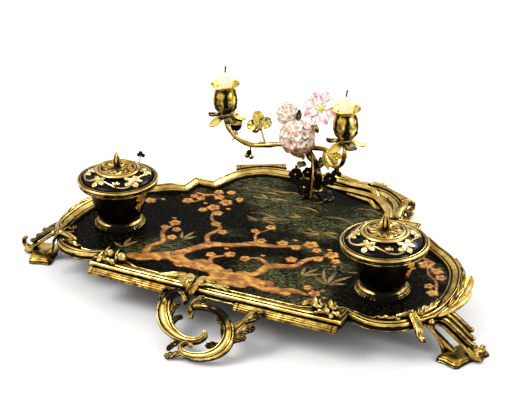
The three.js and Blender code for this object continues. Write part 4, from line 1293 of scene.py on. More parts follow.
    def on_dome(self, degrees: float, share: float, lift: float = 0.0) -> np.ndarray:
        """A place on the dome, by its angle from the photo's side and its share of the radius.

        Args:
            degrees: Angle from the photo's side.
            share: Share of the lid's radius.
            lift: Distance above the dome.

        Returns:
            The place in the pot's own frame.
        """
        rows = np.array(self.dome)[::-1]
        rise = np.interp(share, rows[:, 0], rows[:, 1])
        way = level(math.radians(degrees + self.facing))
        return way * share * self.edge + UP * (self.height + self.seat + rise * self.lid_rise + lift)

    def spray(self, degrees: float, size: float) -> list[Shell]:
        """Five lobes of an ivy leaf that spread over the dome.

        Args:
            degrees: Where it grows on the dome.
            size: Its size, 1 for a usual one.

        Returns:
            Its shells.
        """
        shells = []
        base = 0.72
        root = self.on_dome(degrees, base, 1.0 * MM)
        for turn, length in ((-112, 0.72), (-56, 0.95), (0, 1.1), (56, 0.95), (112, 0.72)):
            swing = math.radians(turn)
            reach = 8.2 * size * length
            across = math.degrees(reach * math.sin(swing) / 26)
            out = min(base + 0.03 * reach * math.cos(swing), 0.985)
            tip = self.on_dome(degrees + across, out, 1.0 * MM)
            middle = self.on_dome(degrees + across / 2, (out + base) / 2, 1.9 * MM)
            leaf = Leaf((root, middle, tip), 3.1 * MM * size, lobes=2, cup=-0.15)
            shells.append(leaf.shell(16, 9).shaded(0, 0.7))
        return shells

    def flower(self, degrees: float, size: float) -> list[Shell]:
        """A small open blossom of five petals with a bead in the middle.

        Args:
            degrees: Where it grows on the dome.
            size: Its size, 1 for a usual one.

        Returns:
            Its shells.
        """
        centre = self.on_dome(degrees, 0.84, 1.2 * MM)
        shells = [ball(1.3 * MM * size, centre + UP * 0.8 * MM, 10)]
        for angle in 2 * np.pi * np.arange(5) / 5:
            way = (level(angle) + 0.1 * UP) * 3.4 * MM * size
            route = (centre, centre + 0.6 * way + UP * 0.9 * MM, centre + way)
            shells.append(Leaf(route, 1.7 * MM * size, lobes=1, notch=0.1, cup=0.4).shell(10, 7))
        return shells

    def vine(self) -> list[Shell]:
        """The stem that winds round the dome and joins leaves and blossoms.

        Returns:
            Its shells.
        """
        angles = np.arange(0, 360, 12.0)
        route = [self.on_dome(a, 0.84 + 0.1 * math.sin(math.radians(4 * a + 30)), 0.55 * MM) for a in angles]
        line = catmull(route + route[:1], 121)[:-1]
        tangent = unit(np.roll(line, -1, 0) - np.roll(line, 1, 0))
        side = unit(np.cross(UP, tangent))
        shape = oval(7) * 0.75 * MM
        lift = np.cross(tangent, side)
        rings = line[:, None] + side[:, None] * shape[None, :, :1] + lift[:, None] * shape[None, :, 1:]
        return [grid_shell(rings, 0.0, loop=True)]

    def painted(self) -> list[Shell]:
        """A low blossom spray in raised lacquer on the bell.

        Returns:
            Its shells.
        """

        def on_bell(degrees: float, share: float, lift: float = 0.25 * MM) -> np.ndarray:
            """A place on the bell, by its angle from the photo's side and its share of the height.

            Args:
                degrees: Angle from the photo's side.
                share: Share of the bell's height.
                lift: Distance from the bell.

            Returns:
                The place in the pot's own frame.
            """
            rows = np.array(self.bell)
            radius = np.interp(share, rows[:, 1], rows[:, 0]) * self.body_radius + lift
            height = self.foot_height + share * (self.height - self.foot_height)
            return level(math.radians(degrees + self.facing)) * radius + UP * height

        shells = []
        for degrees, share, size in self.blossoms:
            centre = on_bell(degrees, share)
            out = tuple(unit(centre * (1, 1, 0)))
            shells.append(ball(0.9 * MM, centre, 8, groove=0.9))
            for k in range(5):
                a = 2 * np.pi * k / 5 + size
                x, y = size * math.cos(a), size * math.sin(a)
                tip = on_bell(degrees + 9 * x, share + 0.13 * y)
                middle = on_bell(degrees + 5 * x, share + 0.07 * y, 0.6 * MM)
                leaf = Leaf((centre, middle, tip), 1.7 * MM * size, 1, 0.1, 0.4 * MM, 0, reference=out,
                            blunt=0.5)
                shells.append(leaf.shell(8, 5))
        widths, heights = (0.5 * MM, 0.7 * MM, 0.3 * MM), (0.35 * MM, 0.35 * MM)
        for start, end in self.twigs:
            route = []
            for t in (0, 0.35, 0.7, 1):
                degrees, share = np.array(start) + np.subtract(end, start) * t
                route.append(on_bell(degrees, share + 0.03 * math.sin(4 * t)))
            shells.append(sweep(route, widths, heights, 10, reference=unit(route[1] * (1, 1, 0))))
        return shells

    def sprig_shells(self) -> list[Shell]:
        """The upright twig of three dark berries behind the finial.

        Returns:
            Its shells.
        """
        root = self.on_dome(118, 0.66, 0.3 * MM)
        top = root + np.array([1.5, 2, 11]) * MM
        thick = (0.7 * MM, 0.6 * MM)
        shells = [sweep((root, (root + top) / 2 + UP * MM, top), thick, thick, 8)]
        for way in ((-2.2, 0, 0), (1.8, 1, -0.4), (0.2, -0.6, 2.6)):
            shells.append(ball(1.9 * MM, top + np.array(way) * MM, 12, groove=0.75))
        return shells

    def build(self, gilt: Material, pale: Material, lacquer: Material, red: Material) -> None:
        """Makes the pot's pieces.

        Args:
            gilt: Finish of foot, rim and bud.
            pale: The garland's finish.
            lacquer: Finish of bell and dome.
            red: Finish of the painted blossoms.
        """
        s = self.side
        pot, lid = f"pot_{s}", f"lid_{s}"
        piece(f"pot_blossoms_{s}", self.put(self.painted()), red, body=pot)
        garland = self.vine()
        for degrees, size in self.sprays:
            garland += self.spray(degrees, size)
        for degrees, size in self.flowers:
            garland += self.flower(degrees, size)
        if self.sprig:
            garland += self.sprig_shells()
        piece(f"pot_foot_chased_{s}", self.put(self.foot()), gilt, [f"pot_foot_{s}"], body=pot)
        piece(f"pot_bell_{s}", self.put(self.body()), lacquer, [f"pot_body_{s}"], pot)
        piece(f"pot_rim_{s}", self.put(self.lip()), gilt, [f"pot_lip_{s}"], body=pot)
        piece(f"lid_dome_{s}", self.put(self.lid()), lacquer, [f"lid_shell_{s}"], lid)
        piece(f"lid_bud_{s}", self.put(self.finial()), gilt, [f"lid_finial_{s}"], body=lid)
        piece(f"lid_ivy_{s}", self.put(garland), pale, [f"lid_garland_{s}"], body=lid)


# Feet and bars


BAND = np.array([
    (-1, 0.1, 0.5), (-0.95, 0.5, 0.1), (-0.84, 0.76, 0), (-0.7, 0.74, 0.1), (-0.6, 0.45, 1),
    (-0.5, 0.72, 0.2), (-0.3, 0.96, 0), (-0.05, 1.02, 0), (0.2, 0.95, 0), (0.42, 0.78, 0.1), (0.54, 0.42, 1),
    (0.64, 0.64, 0.3), (0.8, 0.66, 0), (0.95, 0.42, 0), (1, 0.05, 0.5), (0.92, -0.6, 0.85), (0.5, -0.9, 0.95),
    (-0.5, -0.9, 0.95), (-0.92, -0.6, 0.85),
])
REEDED = np.array([
    (math.cos(a) * (1 + 0.1 * abs(math.sin(2.5 * a))), math.sin(a) * (1 + 0.22 * abs(math.sin(2.5 * a))),
     0.9 * (1 - abs(math.sin(2.5 * a))) ** 2)
    for a in np.linspace(0, 2 * math.pi, 40, endpoint=False)
])


def plate(outline: np.ndarray, holes: Sequence[np.ndarray], thickness: float, bevel: float) -> Shell:
    """A flat casting with rounded edges, in its own plane.

    Args:
        outline: Points round it.
        holes: Points round each opening.
        thickness: Its whole thickness.
        bevel: Radius of the rounded edges.

    Returns:
        The shell, centred on its plane, with its rounded edges left dark inside the openings.
    """
    data = bpy.data.curves.new("plate", "CURVE")
    data.dimensions, data.fill_mode = "2D", "BOTH"
    data.extrude, data.bevel_depth, data.bevel_resolution = thickness / 2 - bevel, bevel, 2
    data.offset = -bevel
    for ring in (outline, *holes):
        spline = data.splines.new("POLY")
        spline.points.add(len(ring) - 1)
        rows = np.column_stack([ring, np.zeros(len(ring)), np.ones(len(ring))])
        spline.points.foreach_set("co", rows.ravel())
        spline.use_cyclic_u = True
    holder = bpy.data.objects.new("plate", data)
    bpy.context.scene.collection.objects.link(holder)
    mesh = bpy.data.meshes.new_from_object(holder.evaluated_get(bpy.context.evaluated_depsgraph_get()))
    bpy.data.objects.remove(holder)
    shell = shell_of(mesh)
    flat = np.abs(shell.points[:, 2]) < thickness / 2 - 0.6 * bevel
    shell.groove[flat] = 0.55
    return shell


def closed_curve(points: Sequence, per_step: int = 6) -> np.ndarray:
    """A smooth closed line through points.

    Args:
        points: The points that it passes.
        per_step: Steps from one to the next.

    Returns:
        The line's points.
    """
    rows = np.asarray(points, float)
    padded = np.vstack([rows[-2:], rows, rows[:2]])
    line = catmull(padded, (len(padded) - 1) * per_step + 1)
    return line[2 * per_step : -per_step - 1]


@dataclass
class ScrollFoot:
    """The open foot in front: two opposed scrolls with acanthus sprays, in one leaning plane."""

    outline: Outline
    span: float = 57.2 * MM
    top: float = 32.4 * MM
    start: float = 13 * MM
    half_thickness: float = 4 * MM
    upper: tuple = (
        (-0.26, 0.02, 0.035), (-0.35, -0.07, 0.045), (-0.45, -0.1, 0.055), (-0.535, -0.05, 0.07),
        (-0.565, 0.07, 0.09), (-0.545, 0.21, 0.115), (-0.475, 0.34, 0.12), (-0.375, 0.45, 0.105),
        (-0.24, 0.53, 0.08), (-0.09, 0.58, 0.062), (0.05, 0.585, 0.054), (0.17, 0.55, 0.048),
        (0.24, 0.47, 0.042), (0.22, 0.4, 0.032),
    )
    lower: tuple = (
        (-0.1, 0.06, 0.035), (0.06, 0.02, 0.048), (0.21, 0.02, 0.055), (0.36, 0.065, 0.065),
        (0.49, 0.16, 0.075), (0.58, 0.285, 0.085), (0.615, 0.42, 0.095), (0.59, 0.56, 0.095),
        (0.51, 0.675, 0.08), (0.38, 0.76, 0.066), (0.22, 0.805, 0.056), (0.075, 0.805, 0.05),
        (-0.02, 0.755, 0.045), (-0.04, 0.675, 0.04), (0.023, 0.62, 0.036), (0.1, 0.645, 0.032),
    )
    fronds: tuple = (
        ((0.57, 0.34, 0.08), (0.68, 0.17, 0), (0.79, 0.02, 0), (0.88, -0.08, 0), (0.97, -0.08, 0)),
        ((0.6, 0.44, 0.075), (0.72, 0.27, 0), (0.82, 0.18, 0), (0.93, 0.14, 0)),
        ((-0.34, 0.44, 0.05), (-0.4, 0.28, 0), (-0.42, 0.15, 0), (-0.36, 0.04, 0)),
        ((-0.47, 0.4, 0.05), (-0.56, 0.24, 0), (-0.64, 0.08, 0), (-0.67, -0.04, 0)),
        ((0.53, 0.44, 0.05), (0.47, 0.27, 0), (0.4, 0.18, 0), (0.31, 0.15, 0)),
        ((0.03, 0.8, 0.05), (-0.08, 0.84, 0), (-0.16, 0.88, 0), (-0.22, 0.925, 0)),
        ((0.0, 0.7, 0.04), (-0.1, 0.66, 0), (-0.18, 0.72, 0), (-0.22, 0.82, 0)),
        ((-0.08, 0.24, 0.075), (-0.14, 0.1, 0), (-0.08, -0.04, 0), (0.0, -0.14, 0)),
        ((-0.56, 0.16, 0.045), (-0.64, 0.06, 0), (-0.67, -0.04, 0), (-0.62, -0.12, 0)),
        ((-0.31, 0.48, 0.04), (-0.31, 0.36, 0), (-0.28, 0.28, 0), (-0.2, 0.26, 0)),
        ((0.55, 0.6, 0.05), (0.47, 0.54, 0), (0.39, 0.56, 0), (0.32, 0.61, 0)),
        ((0.6, 0.5, 0.06), (0.7, 0.4, 0), (0.78, 0.34, 0), (0.86, 0.32, 0)),
    )

    @property
    def down(self) -> np.ndarray:
        """The way that the foot's plane runs from the rim to the ground."""
        return np.array([0, -math.sqrt(self.span**2 - self.top**2), -self.top]) / self.span

    def place(self, row: Sequence[float], proud: float = 0.0) -> np.ndarray:
        """A place in the foot's plane, raised from it by a distance."""
        origin = np.array([row[0] * self.span, self.outline.front - self.start, self.top])
        return origin + self.down * row[1] * self.span + self.facing * proud

    @property
    def facing(self) -> np.ndarray:
        """The way that the foot's face looks."""
        return np.cross(self.down, RIGHT)

    def scroll(self, rows: Sequence, shadow: tuple[float, float]) -> list[Shell]:
        """One moulded scroll, its eye, and painted shadow on the share of it that turns under the rim.

        Args:
            rows: Shares across and down, and half width, of each point.
            shadow: Where along it the painted shadow is darkest, and how far it reaches.

        Returns:
            Its shells.
        """
        steps = 64
        t = np.linspace(0, 1, steps)[:, None]
        # Painted shadow under the rim.
        dark = 0.85 * np.clip(1 - np.abs(t - shadow[0]) / shadow[1], 0, 1)
        shades = np.maximum(BAND[None, :, 2], dark)
        widths = [row[2] * self.span for row in rows]
        heights = [self.half_thickness * min(1, 0.45 + row[2] / 0.09) for row in rows]
        arm = sweep([self.place(r) for r in rows], widths, heights, steps, BAND[:, :2], shades, self.facing)
        eye = ball(1.25 * widths[-1], self.place(rows[-1], 1 * MM), 14)
        return [arm, eye]

    def shells(self) -> list[Shell]:
        """Both scrolls and their sprays.

        Returns:
            Its shells.
        """
        out = self.scroll(self.upper, (0.2, 0.3)) + self.scroll(self.lower, (0.2, 0.26))
        for number, rows in enumerate(self.fronds):
            route = [self.place(r, (1.2 + 0.3 * number % 1) * MM) for r in rows]
            leaf = Leaf(route, rows[0][2] * self.span, 4, 0.42, 2.4 * MM, -0.3, 0.25, tuple(self.facing))
            out.append(leaf.shell(36, 13))
        for shell in out:
            shell.points[:, 2] = np.maximum(shell.points[:, 2], 0.0)
        return out

    def build(self, gilt: Material) -> None:
        """Makes the foot."""
        piece("scroll_foot_cast", self.shells(), gilt, ["foot_front_scroll"])


@dataclass
class SideFoot:
    """A pierced side foot: a leaning bracket with a slot, reeded straps and a moulded base."""

    reach: float = 46 * MM
    rise: float = 31 * MM
    thickness: float = 6.5 * MM
    base_height: float = 6.2 * MM
    slot_width: float = 8.2 * MM
    bracket: tuple = (
        (-0.14, 0.93), (0.02, 0.95), (0.2, 0.93), (0.34, 0.8), (0.5, 0.61), (0.66, 0.41), (0.76, 0.3),
        (0.84, 0.27), (0.9, 0.29), (0.93, 0.2), (0.96, 0.1), (0.9, 0.06), (0.6, 0.04), (0.3, 0.04),
        (0.2, 0.08), (0.17, 0.2), (0.13, 0.34), (0.04, 0.55), (-0.08, 0.72), (-0.18, 0.84),
    )
    slot: tuple = ((0.1, 0.78), (0.58, 0.22))
    hook: tuple = ((0.66, 0.4), (0.8, 0.25), (0.9, 0.23), (0.96, 0.34), (0.955, 0.5), (0.92, 0.52))
    base: tuple = ((0.16, -0.26), (0.34, -0.33), (0.58, -0.4), (0.68, -0.2), (0.8, 0.02), (0.98, 0.26),
                   (0.94, 0.33), (0.7, 0.42), (0.5, 0.42), (0.3, 0.12))
    straps: tuple = (
        ((-0.06, 1.02, 0.03), (0.18, 1.04, 0.03), (0.4, 0.84, 0.03), (0.6, 0.6, 0.03), (0.72, 0.48, 0.03),
         (0.78, 0.46, 0.03)),
        ((-0.02, 1.05, 0.15), (0.2, 1.07, 0.15), (0.4, 0.88, 0.15), (0.57, 0.67, 0.15), (0.67, 0.57, 0.15),
         (0.71, 0.57, 0.15)),
        ((0.0, 1.05, 0.28), (0.2, 1.07, 0.28), (0.38, 0.92, 0.28), (0.51, 0.77, 0.28), (0.59, 0.69, 0.28),
         (0.63, 0.7, 0.28)),
    )

    def place(self, r: float, z: float, y: float = 0.0) -> np.ndarray:
        """A place in the foot's own frame: out, up and across."""
        return np.array([r * self.reach, y * self.reach, z * self.rise])

    def moulded_base(self) -> Shell:
        """The base on the ground, with a fillet, a hollow and a bead along its edge.

        Returns:
            The shell.
        """
        edge = closed_curve(self.base, 5)
        middle = edge.mean(0)
        rows = (
            (0, 0, 0.9), (0.97, 0, 0.9), (1.0, 0.08, 0.2), (1.0, 0.26, 0), (0.975, 0.34, 1),
            (0.96, 0.42, 0.3), (0.965, 0.52, 0), (0.94, 0.66, 0), (0.9, 0.74, 0.9), (0.87, 0.84, 0.1),
            (0.8, 0.96, 0), (0.6, 1.05, 0), (0, 1.1, 0),
        )
        rings = []
        for share, height, _ in rows[1:-1]:
            plan = (middle + (edge - middle) * share) * self.reach
            rings.append(np.column_stack([plan, np.full(len(edge), height * self.base_height)]))
        shades = np.repeat(np.array([g for _, _, g in rows[1:-1]])[:, None], len(edge), 1)
        return grid_shell(np.stack(rings), shades)

    def shells(self) -> list[Shell]:
        """The whole foot in its own frame.

        Returns:
            Its shells.
        """
        scale = np.array([self.reach, self.rise])
        outline = closed_curve(self.bracket, 5) * scale
        high, low = (np.array(p) * scale for p in self.slot)
        way = unit(low - high)
        across = np.array([-way[1], way[0]])
        turn = np.linspace(0, np.pi, 9)
        ends = [(low, way, 1), (high, -way, -1)]
        hole = np.vstack([
            end + self.slot_width / 2 * (np.cos(turn)[:, None] * across * sign + np.sin(turn)[:, None] * out)
            for end, out, sign in ends
        ])
        web = plate(outline, [hole], self.thickness, 1.5 * MM)
        upright = np.array([[1, 0, 0], [0, 0, -1], [0, 1, 0]])
        out = [web.moved(upright), self.moulded_base()]
        for rows in self.straps:
            route = [self.place(r, z, y) for r, z, y in rows]
            strap = sweep(route, [2.9 * MM, 3.2 * MM, 3.0 * MM, 2.6 * MM], [1.6 * MM, 2.0 * MM, 1.7 * MM], 30,
                          REEDED[:, :2], np.clip(REEDED[:, 2] + 0.3, 0, 1))
            out += [strap, ball(2.2 * MM, route[-1], 12, (1, 1.2, 0.9), 0.2)]
        hook = [self.place(r, z) for r, z in self.hook]
        widths, heights = np.array([3.2, 3.4, 3.4, 3]) * MM, np.array([2.2, 1.6, 1.3, 1.3]) * MM
        curl = sweep(hook, widths, heights, 26, reference=(-1, 0, 1))
        out += [curl, ball(1.9 * MM, hook[-1], 14, (1, 1.8, 1))]
        rib = [self.place(r, z, -0.075) for r, z in ((-0.1, 0.84), (0.06, 0.62), (0.2, 0.3), (0.24, 0.16))]
        out.append(sweep(rib, [1.1 * MM] * 2, [0.8 * MM] * 2, 20, reference=-BACK))
        return out

    def put(self, turn: float, mirror: float, place: Sequence[float]) -> list[Shell]:
        """The foot turned about the upright axis, mirrored and placed.

        Args:
            turn: Degrees that its outward way turns from the x axis.
            mirror: 1, or -1 to swap left and right.
            place: Where its root stands on the ground.

        Returns:
            Its shells in the shared frame.
        """
        c, s = math.cos(math.radians(turn)), math.sin(math.radians(turn))
        matrix = np.diag([mirror, 1, 1]) @ np.array([[c, -s, 0], [s, c, 0], [0, 0, 1]])
        return [shell.moved(matrix, place) for shell in self.shells()]

    def build(self, outline: Outline, gilt: Material) -> None:
        """Makes the two side feet and the two back feet.

        Args:
            outline: The tray's outline.
            gilt: The feet's finish.
        """
        for side, sign in SIDES.items():
            root = outline.point(sign * 0.958, 0.196, 0)
            piece(f"side_foot_{side}", self.put(0, sign, root), gilt, [f"foot_{side}"], sharp=36)
            root = outline.point(sign * 0.33, 0.935, 0)
            piece(f"back_foot_{side}", self.put(64.8, sign, root), gilt, [f"foot_back_{side}"], sharp=36)


@dataclass
class ReedBars:
    """The reeded bars that stand out from the rim in front and at the back."""

    outline: Outline
    outreach: float = 6.5 * MM
    top: float = 36 * MM
    drop: float = 5.2 * MM
    back_outreach: float = 7 * MM
    back_drop: float = 9 * MM
    back_top: float = 42.8 * MM
    reeds: int = 4

    def section(self, reach: float, top: float, drop: float, inner: float = 0.9) -> np.ndarray:
        """A quarter-round bundle of reeds as rows of reach, height and groove.

        Args:
            reach: How far it stands out.
            top: Height of its top.
            drop: Its depth.
            inner: Groove value of its upper inner edge.

        Returns:
            The rows.
        """
        turn = np.linspace(0, 1, 8 * self.reeds + 1)
        swell = np.abs(np.sin(np.pi * turn * self.reeds))
        angle = math.pi / 2 - turn * math.radians(100)
        out = reach * (0.93 + 0.07 * swell**0.7) * np.cos(angle)
        rise = top - drop + drop * (0.93 + 0.07 * swell**0.7) * np.maximum(np.sin(angle), 0)
        rows = np.column_stack([out, rise, 0.12 + 0.3 * turn + 0.3 * (1 - swell) ** 2])
        closing = [(0, top - drop, 0.9), (-0.6 * MM, top - drop, 0.9), (-0.6 * MM, top - 0.4 * MM, inner)]
        return np.vstack([rows[1:], closing])

    def bar(self, start: np.ndarray, end: np.ndarray, out: np.ndarray, section: np.ndarray,
            edge: np.ndarray | None = None) -> list[Shell]:
        """A bar with rolled ends.

        Args:
            start: Where it begins.
            end: Where it ends.
            out: The way that it stands out.
            section: Its section, as rows of reach, height and groove.
            edge: Places that its inner side follows.

        Returns:
            Its shells.
        """
        length = np.linalg.norm(end - start)
        way = (end - start) / length
        stops = np.array([0, 0.3, 0.9, 2.0, 3.2, 4.0, 4.6]) * MM
        swell = np.array([0.6, 0.86, 0.97, 1, 0.96, 0.8, 0.97])
        middle = np.empty(0) if edge is None else np.linspace(stops[-1], length - stops[-1], 12)[1:-1]
        stations = np.concatenate([stops, middle, length - stops[::-1]])
        sizes = np.concatenate([swell, np.full(len(middle), swell[-1]), swell[::-1]])
        centre = section[:, :2].mean(0)
        rings = []
        for at, size in zip(stations, sizes):
            shape = centre + (section[:, :2] - centre) * size
            if edge is not None:
                shape[-2:, 0] = np.interp(at, (edge - start) @ way, (edge - start) @ out) - 0.8 * MM
            rings.append(start[None] + way * at + out * shape[:, :1] + UP * (shape[:, 1:2]))
        dark = np.array([0.6, 0.1, 0, 0, 0.3, 1, 0.3])
        dark = np.concatenate([dark, dark[::-1]]) if edge is None else np.zeros(len(stations))
        shades = np.maximum(section[None, :, 2], dark[:, None])
        return [grid_shell(np.stack(rings), shades)]

    def build(self, gilt: Material) -> None:
        """Makes the four bars.

        Args:
            gilt: The bars' finish.
        """
        front = self.section(self.outreach, self.top, self.drop)
        slope = self.outline.front_rows[1][1] / self.outline.front_rows[1][0]
        arch = spline_rows(self.outline.arch_rows, 6)
        for side, sign in SIDES.items():
            ends = [self.outline.point(sign * x, x * slope, 0) for x in (0.135, 0.62)]
            out = unit(np.cross(ends[1] - ends[0], UP) * sign)
            start, end = (e + out * 0.9 * MM for e in ends)
            piece(f"reeded_bar_{side}", self.bar(start, end, out, front), gilt, [f"reed_bar_front_{side}"],
                  sharp=45)
            picks = [arch[round(t * (len(arch) - 1))] for t in (0.33, 0.6)]
            start, end = (self.outline.point(sign * r[0], r[1], 0) for r in picks)
            out = unit(np.cross(end - start, UP) * sign)
            edge = np.array([self.outline.point(sign * r[0], r[1], 0) for r in arch])
            bulge = ((edge - start) @ out).max() + 0.6 * MM
            back = self.section(self.back_outreach, self.back_top, self.back_drop, 0.1)
            shells = self.bar(start + out * bulge, end + out * bulge, out, back, edge)
            piece(f"reeded_block_{side}", shells, gilt, [f"reed_block_back_{side}"], sharp=45)


# Candle branch


def tube(route: Sequence, radii: Sequence[float], steps: int = 32, sides: int = 12,
         groove: float = 0.0) -> Shell:
    """A round stem of changing thickness."""
    return sweep(route, radii, radii, steps, oval(sides), groove, BACK)


@dataclass
class CandleBranch:
    """The bronze bush at the back: a rocky mound, three stems, two branch arms and their leaves."""

    outline: Outline
    tray_top: float = field(default_factory=lambda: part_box("tray_panel")[1].z)
    size: float = 100 * MM
    mound_radius: float = 16 * MM
    mound_height: float = 7 * MM
    stud: float = 2.6 * MM
    stud_length: float = 13 * MM
    stem_radius: float = 3.2 * MM
    arm_radius: float = 2.7 * MM
    knots: tuple = (1.05, 0.9, 0.86, 1.05, 0.88, 0.84, 0.98, 0.84, 0.84, 1.02, 0.86, 0.9, 1.0, 0.95)
    knop: float = 5 * MM
    stems: tuple = (
        ((0.02, 0.0, 0.09), (0, 0, 0.22), (-0.03, -0.02, 0.38), (-0.08, -0.04, 0.52)),
        ((0.01, -0.02, 0.09), (0.05, -0.04, 0.2), (0.02, -0.04, 0.36), (-0.07, -0.04, 0.5)),
        ((-0.02, 0.01, 0.09), (-0.07, 0.01, 0.2), (-0.04, -0.02, 0.38), (-0.09, -0.04, 0.5)),
    )
    arms: dict = field(default_factory=lambda: {
        Side.LEFT: (
            (-0.1, -0.04, 0.53), (-0.35, -0.08, 0.53), (-0.51, -0.12, 0.505), (-0.655, -0.15, 0.497),
            (-0.79, -0.19, 0.567), (-0.87, -0.2, 0.67), (-0.89, -0.21, 0.73), (-0.89, -0.21, 0.767),
        ),
        Side.RIGHT: (
            (-0.06, -0.05, 0.54), (0.14, -0.11, 0.57), (0.21, -0.155, 0.51), (0.285, -0.215, 0.475),
            (0.37, -0.27, 0.54), (0.41, -0.31, 0.66), (0.411, -0.31, 0.73), (0.411, -0.31, 0.767),
        ),
    })
    rosettes: tuple = (((-0.2, -0.06, 0.22), 7.4), ((-0.07, -0.14, 0.14), 8.6), ((0.16, -0.05, 0.24), 7.0),
                       ((-0.05, -0.1, 0.29), 6.0))
    tufts: tuple = (
        ((-0.12, -0.03, 0.4), (-0.24, -0.07, 0.44), 4.2), ((-0.1, -0.03, 0.34), (-0.2, -0.08, 0.3), 3.6),
        ((0.03, -0.05, 0.4), (0.13, -0.1, 0.44), 3.8), ((-0.02, -0.05, 0.3), (0.08, -0.12, 0.3), 3.4),
        ((-0.1, -0.03, 0.46), (-0.02, -0.11, 0.42), 3.4), ((0.0, 0.02, 0.3), (0.07, 0.12, 0.36), 4.0),
        ((-0.08, 0.0, 0.38), (-0.14, 0.1, 0.42), 4.0),
    )

    def place(self, shares: Sequence[float]) -> np.ndarray:
        """A place on the branch, by its shares of the branch's size from the foot."""
        return self.outline.point(0.0203, 0.8343, self.tray_top) + np.asarray(shares, float) * self.size

    def route(self, rows: Sequence) -> list[np.ndarray]:
        """Places for rows of shares."""
        return [self.place(row) for row in rows]

    def mound(self) -> list[Shell]:
        """The rocky foot on the tray, ringed by small leaves.

        Returns:
            Its shells.
        """
        r, h = self.mound_radius, self.mound_height
        rows = (
            (0, 0, 0.8), (0.98, 0, 0.8), (1.02, 0.06, 0.5), (1.03, 0.18, 0.35), (0.94, 0.3, 0.9),
            (0.9, 0.38, 0.7), (0.82, 0.52, 0.7), (0.66, 0.7, 0.7), (0.52, 0.82, 0.8), (0.42, 0.95, 0.6),
            (0.38, 1.0, 0.7), (0, 1.0, 0.8),
        )

        def rocky(angle: np.ndarray, radius: np.ndarray, height: np.ndarray) -> np.ndarray:
            """Uneven knobs round the rock."""
            wave = 0.07 * np.cos(5 * angle) + 0.035 * np.sin(11 * angle + 30 * height / h)
            return radius * wave * np.where(radius > 0.2 * r, 1, 0)

        rock = turned([(a * r, b * h) for a, b, _ in rows], 80, rocky, [c for _, _, c in rows])
        root = self.place((0, 0, 0))
        shells = [rock.moved(shift=root)]
        for angle in 2 * np.pi * np.arange(7) / 7 + 0.4:
            steps = ((0.3, 1.02), (0.62, 0.86), (0.88, 0.46), (1.04, 0.24))
            route = [root + level(angle) * a * r + UP * b * h for a, b in steps]
            shells.append(Leaf(route, 4.6 * MM, 3, 0.3, 1.1 * MM, 0.15).shell(24, 11).shaded(0.6))
        return shells

    def rosette(self, shares: Sequence[float], radius_mm: float) -> list[Shell]:
        """A dark bronze flower that faces front and up.

        Args:
            shares: Its place on the branch.
            radius_mm: Its radius in millimetres.

        Returns:
            Its shells.
        """
        centre = self.place(shares)
        facing = unit(np.array([0.15, -0.75, 0.65]))
        across = unit(np.cross(facing, UP))
        over = np.cross(across, facing)
        shells = [ball(0.24 * radius_mm * MM, centre + facing * 0.9 * MM, 12, groove=0.35)]
        for ring, count, lift in ((1.0, 6, 0.05), (0.62, 5, 0.3)):
            for k in range(count):
                angle = 2 * np.pi * (k + 0.5 * (ring < 1)) / count
                way = across * math.cos(angle) + over * math.sin(angle)
                reach = radius_mm * ring * MM
                route = [centre, centre + way * 0.6 * reach + facing * lift * reach,
                         centre + way * reach + facing * 1.6 * lift * reach]
                leaf = Leaf(route, 0.4 * reach, 1, 0.12, 0.8 * MM, 0.35, reference=tuple(facing))
                shells.append(leaf.shell(12, 9).shaded(0.55, 0.6))
        return shells

    def trunk(self) -> list[Shell]:
        """The stems with their collar, stud, knop, rosettes and tufts of leaves.

        Returns:
            Its shells.
        """
        foot, seat = self.place((0, 0, 0)), self.mound_height
        ring = np.array(((0, 0), (5.6, 0), (6, 1.2), (4.4, 2.8), (0, 3))) * MM + (0, seat)
        rod = ((0, -self.stud_length), (self.stud, -self.stud_length), (self.stud, seat), (0, seat))
        shells = [turned(ring, 32).moved(shift=foot), turned(rod, 20, groove=0.5).moved(shift=foot),
                  ball(self.knop, self.place((-0.08, -0.04, 0.53)), 18)]
        for k, rows in enumerate(self.stems):
            thick = self.stem_radius * (1 - 0.2 * k)
            radii = [1.1 * thick, 0.86 * thick, 1.0 * thick, 0.8 * thick, 0.95 * thick, 0.8 * thick]
            shells.append(tube(self.route(rows), radii, 40, 12, 0.5))
        for shares, radius in self.rosettes:
            shells += self.rosette(shares, radius)
            start = self.place((0.2 * shares[0], 0.3 * shares[1], 0.13))
            shells.append(tube([start, (start + self.place(shares)) / 2 + UP * 2 * MM, self.place(shares)],
                               [1.1 * MM, 0.8 * MM], 10, 8, 0.6))
        for root, tip, width in self.tufts:
            a, b = self.place(root), self.place(tip)
            middle = (a + b) / 2 + UP * 2.5 * MM
            leaf = Leaf((a, middle, b), width * MM, 3, cup=0.2, reference=(0.2, -0.6, 0.8))
            shells.append(leaf.shell(22, 9).shaded(0.3))
        wire = self.route(((0.02, -0.2, 0.08), (0.03, -0.19, 0.2), (0.03, -0.17, 0.36), (0.0, -0.12, 0.5)))
        return [*shells, tube(wire, [1.0 * MM, 0.8 * MM, 0.7 * MM], 24, 9)]

    def berries(self, seat: Sequence[float], root: Sequence[float], dark: float) -> list[Shell]:
        """Three berries on a wire.

        Args:
            seat: The berries' place.
            root: Where their wire leaves the arm.
            dark: Their least groove value.

        Returns:
            Its shells.
        """
        radius = 0.98 * self.arm_radius
        centre = self.place(seat)
        balls = [ball(radius, centre + np.array(way) * radius, 16, groove=max(dark, more))
                 for way, more in (((-0.9, 0, 0), 0.35), ((0.9, 0, -0.22), 0.3), ((0, 0, 1.36), 0.8))]
        return [*balls, tube([centre, (centre + self.place(root)) / 2 + RIGHT * MM, self.place(root)],
                             [0.75 * MM] * 2, 8, 8, 0.3)]

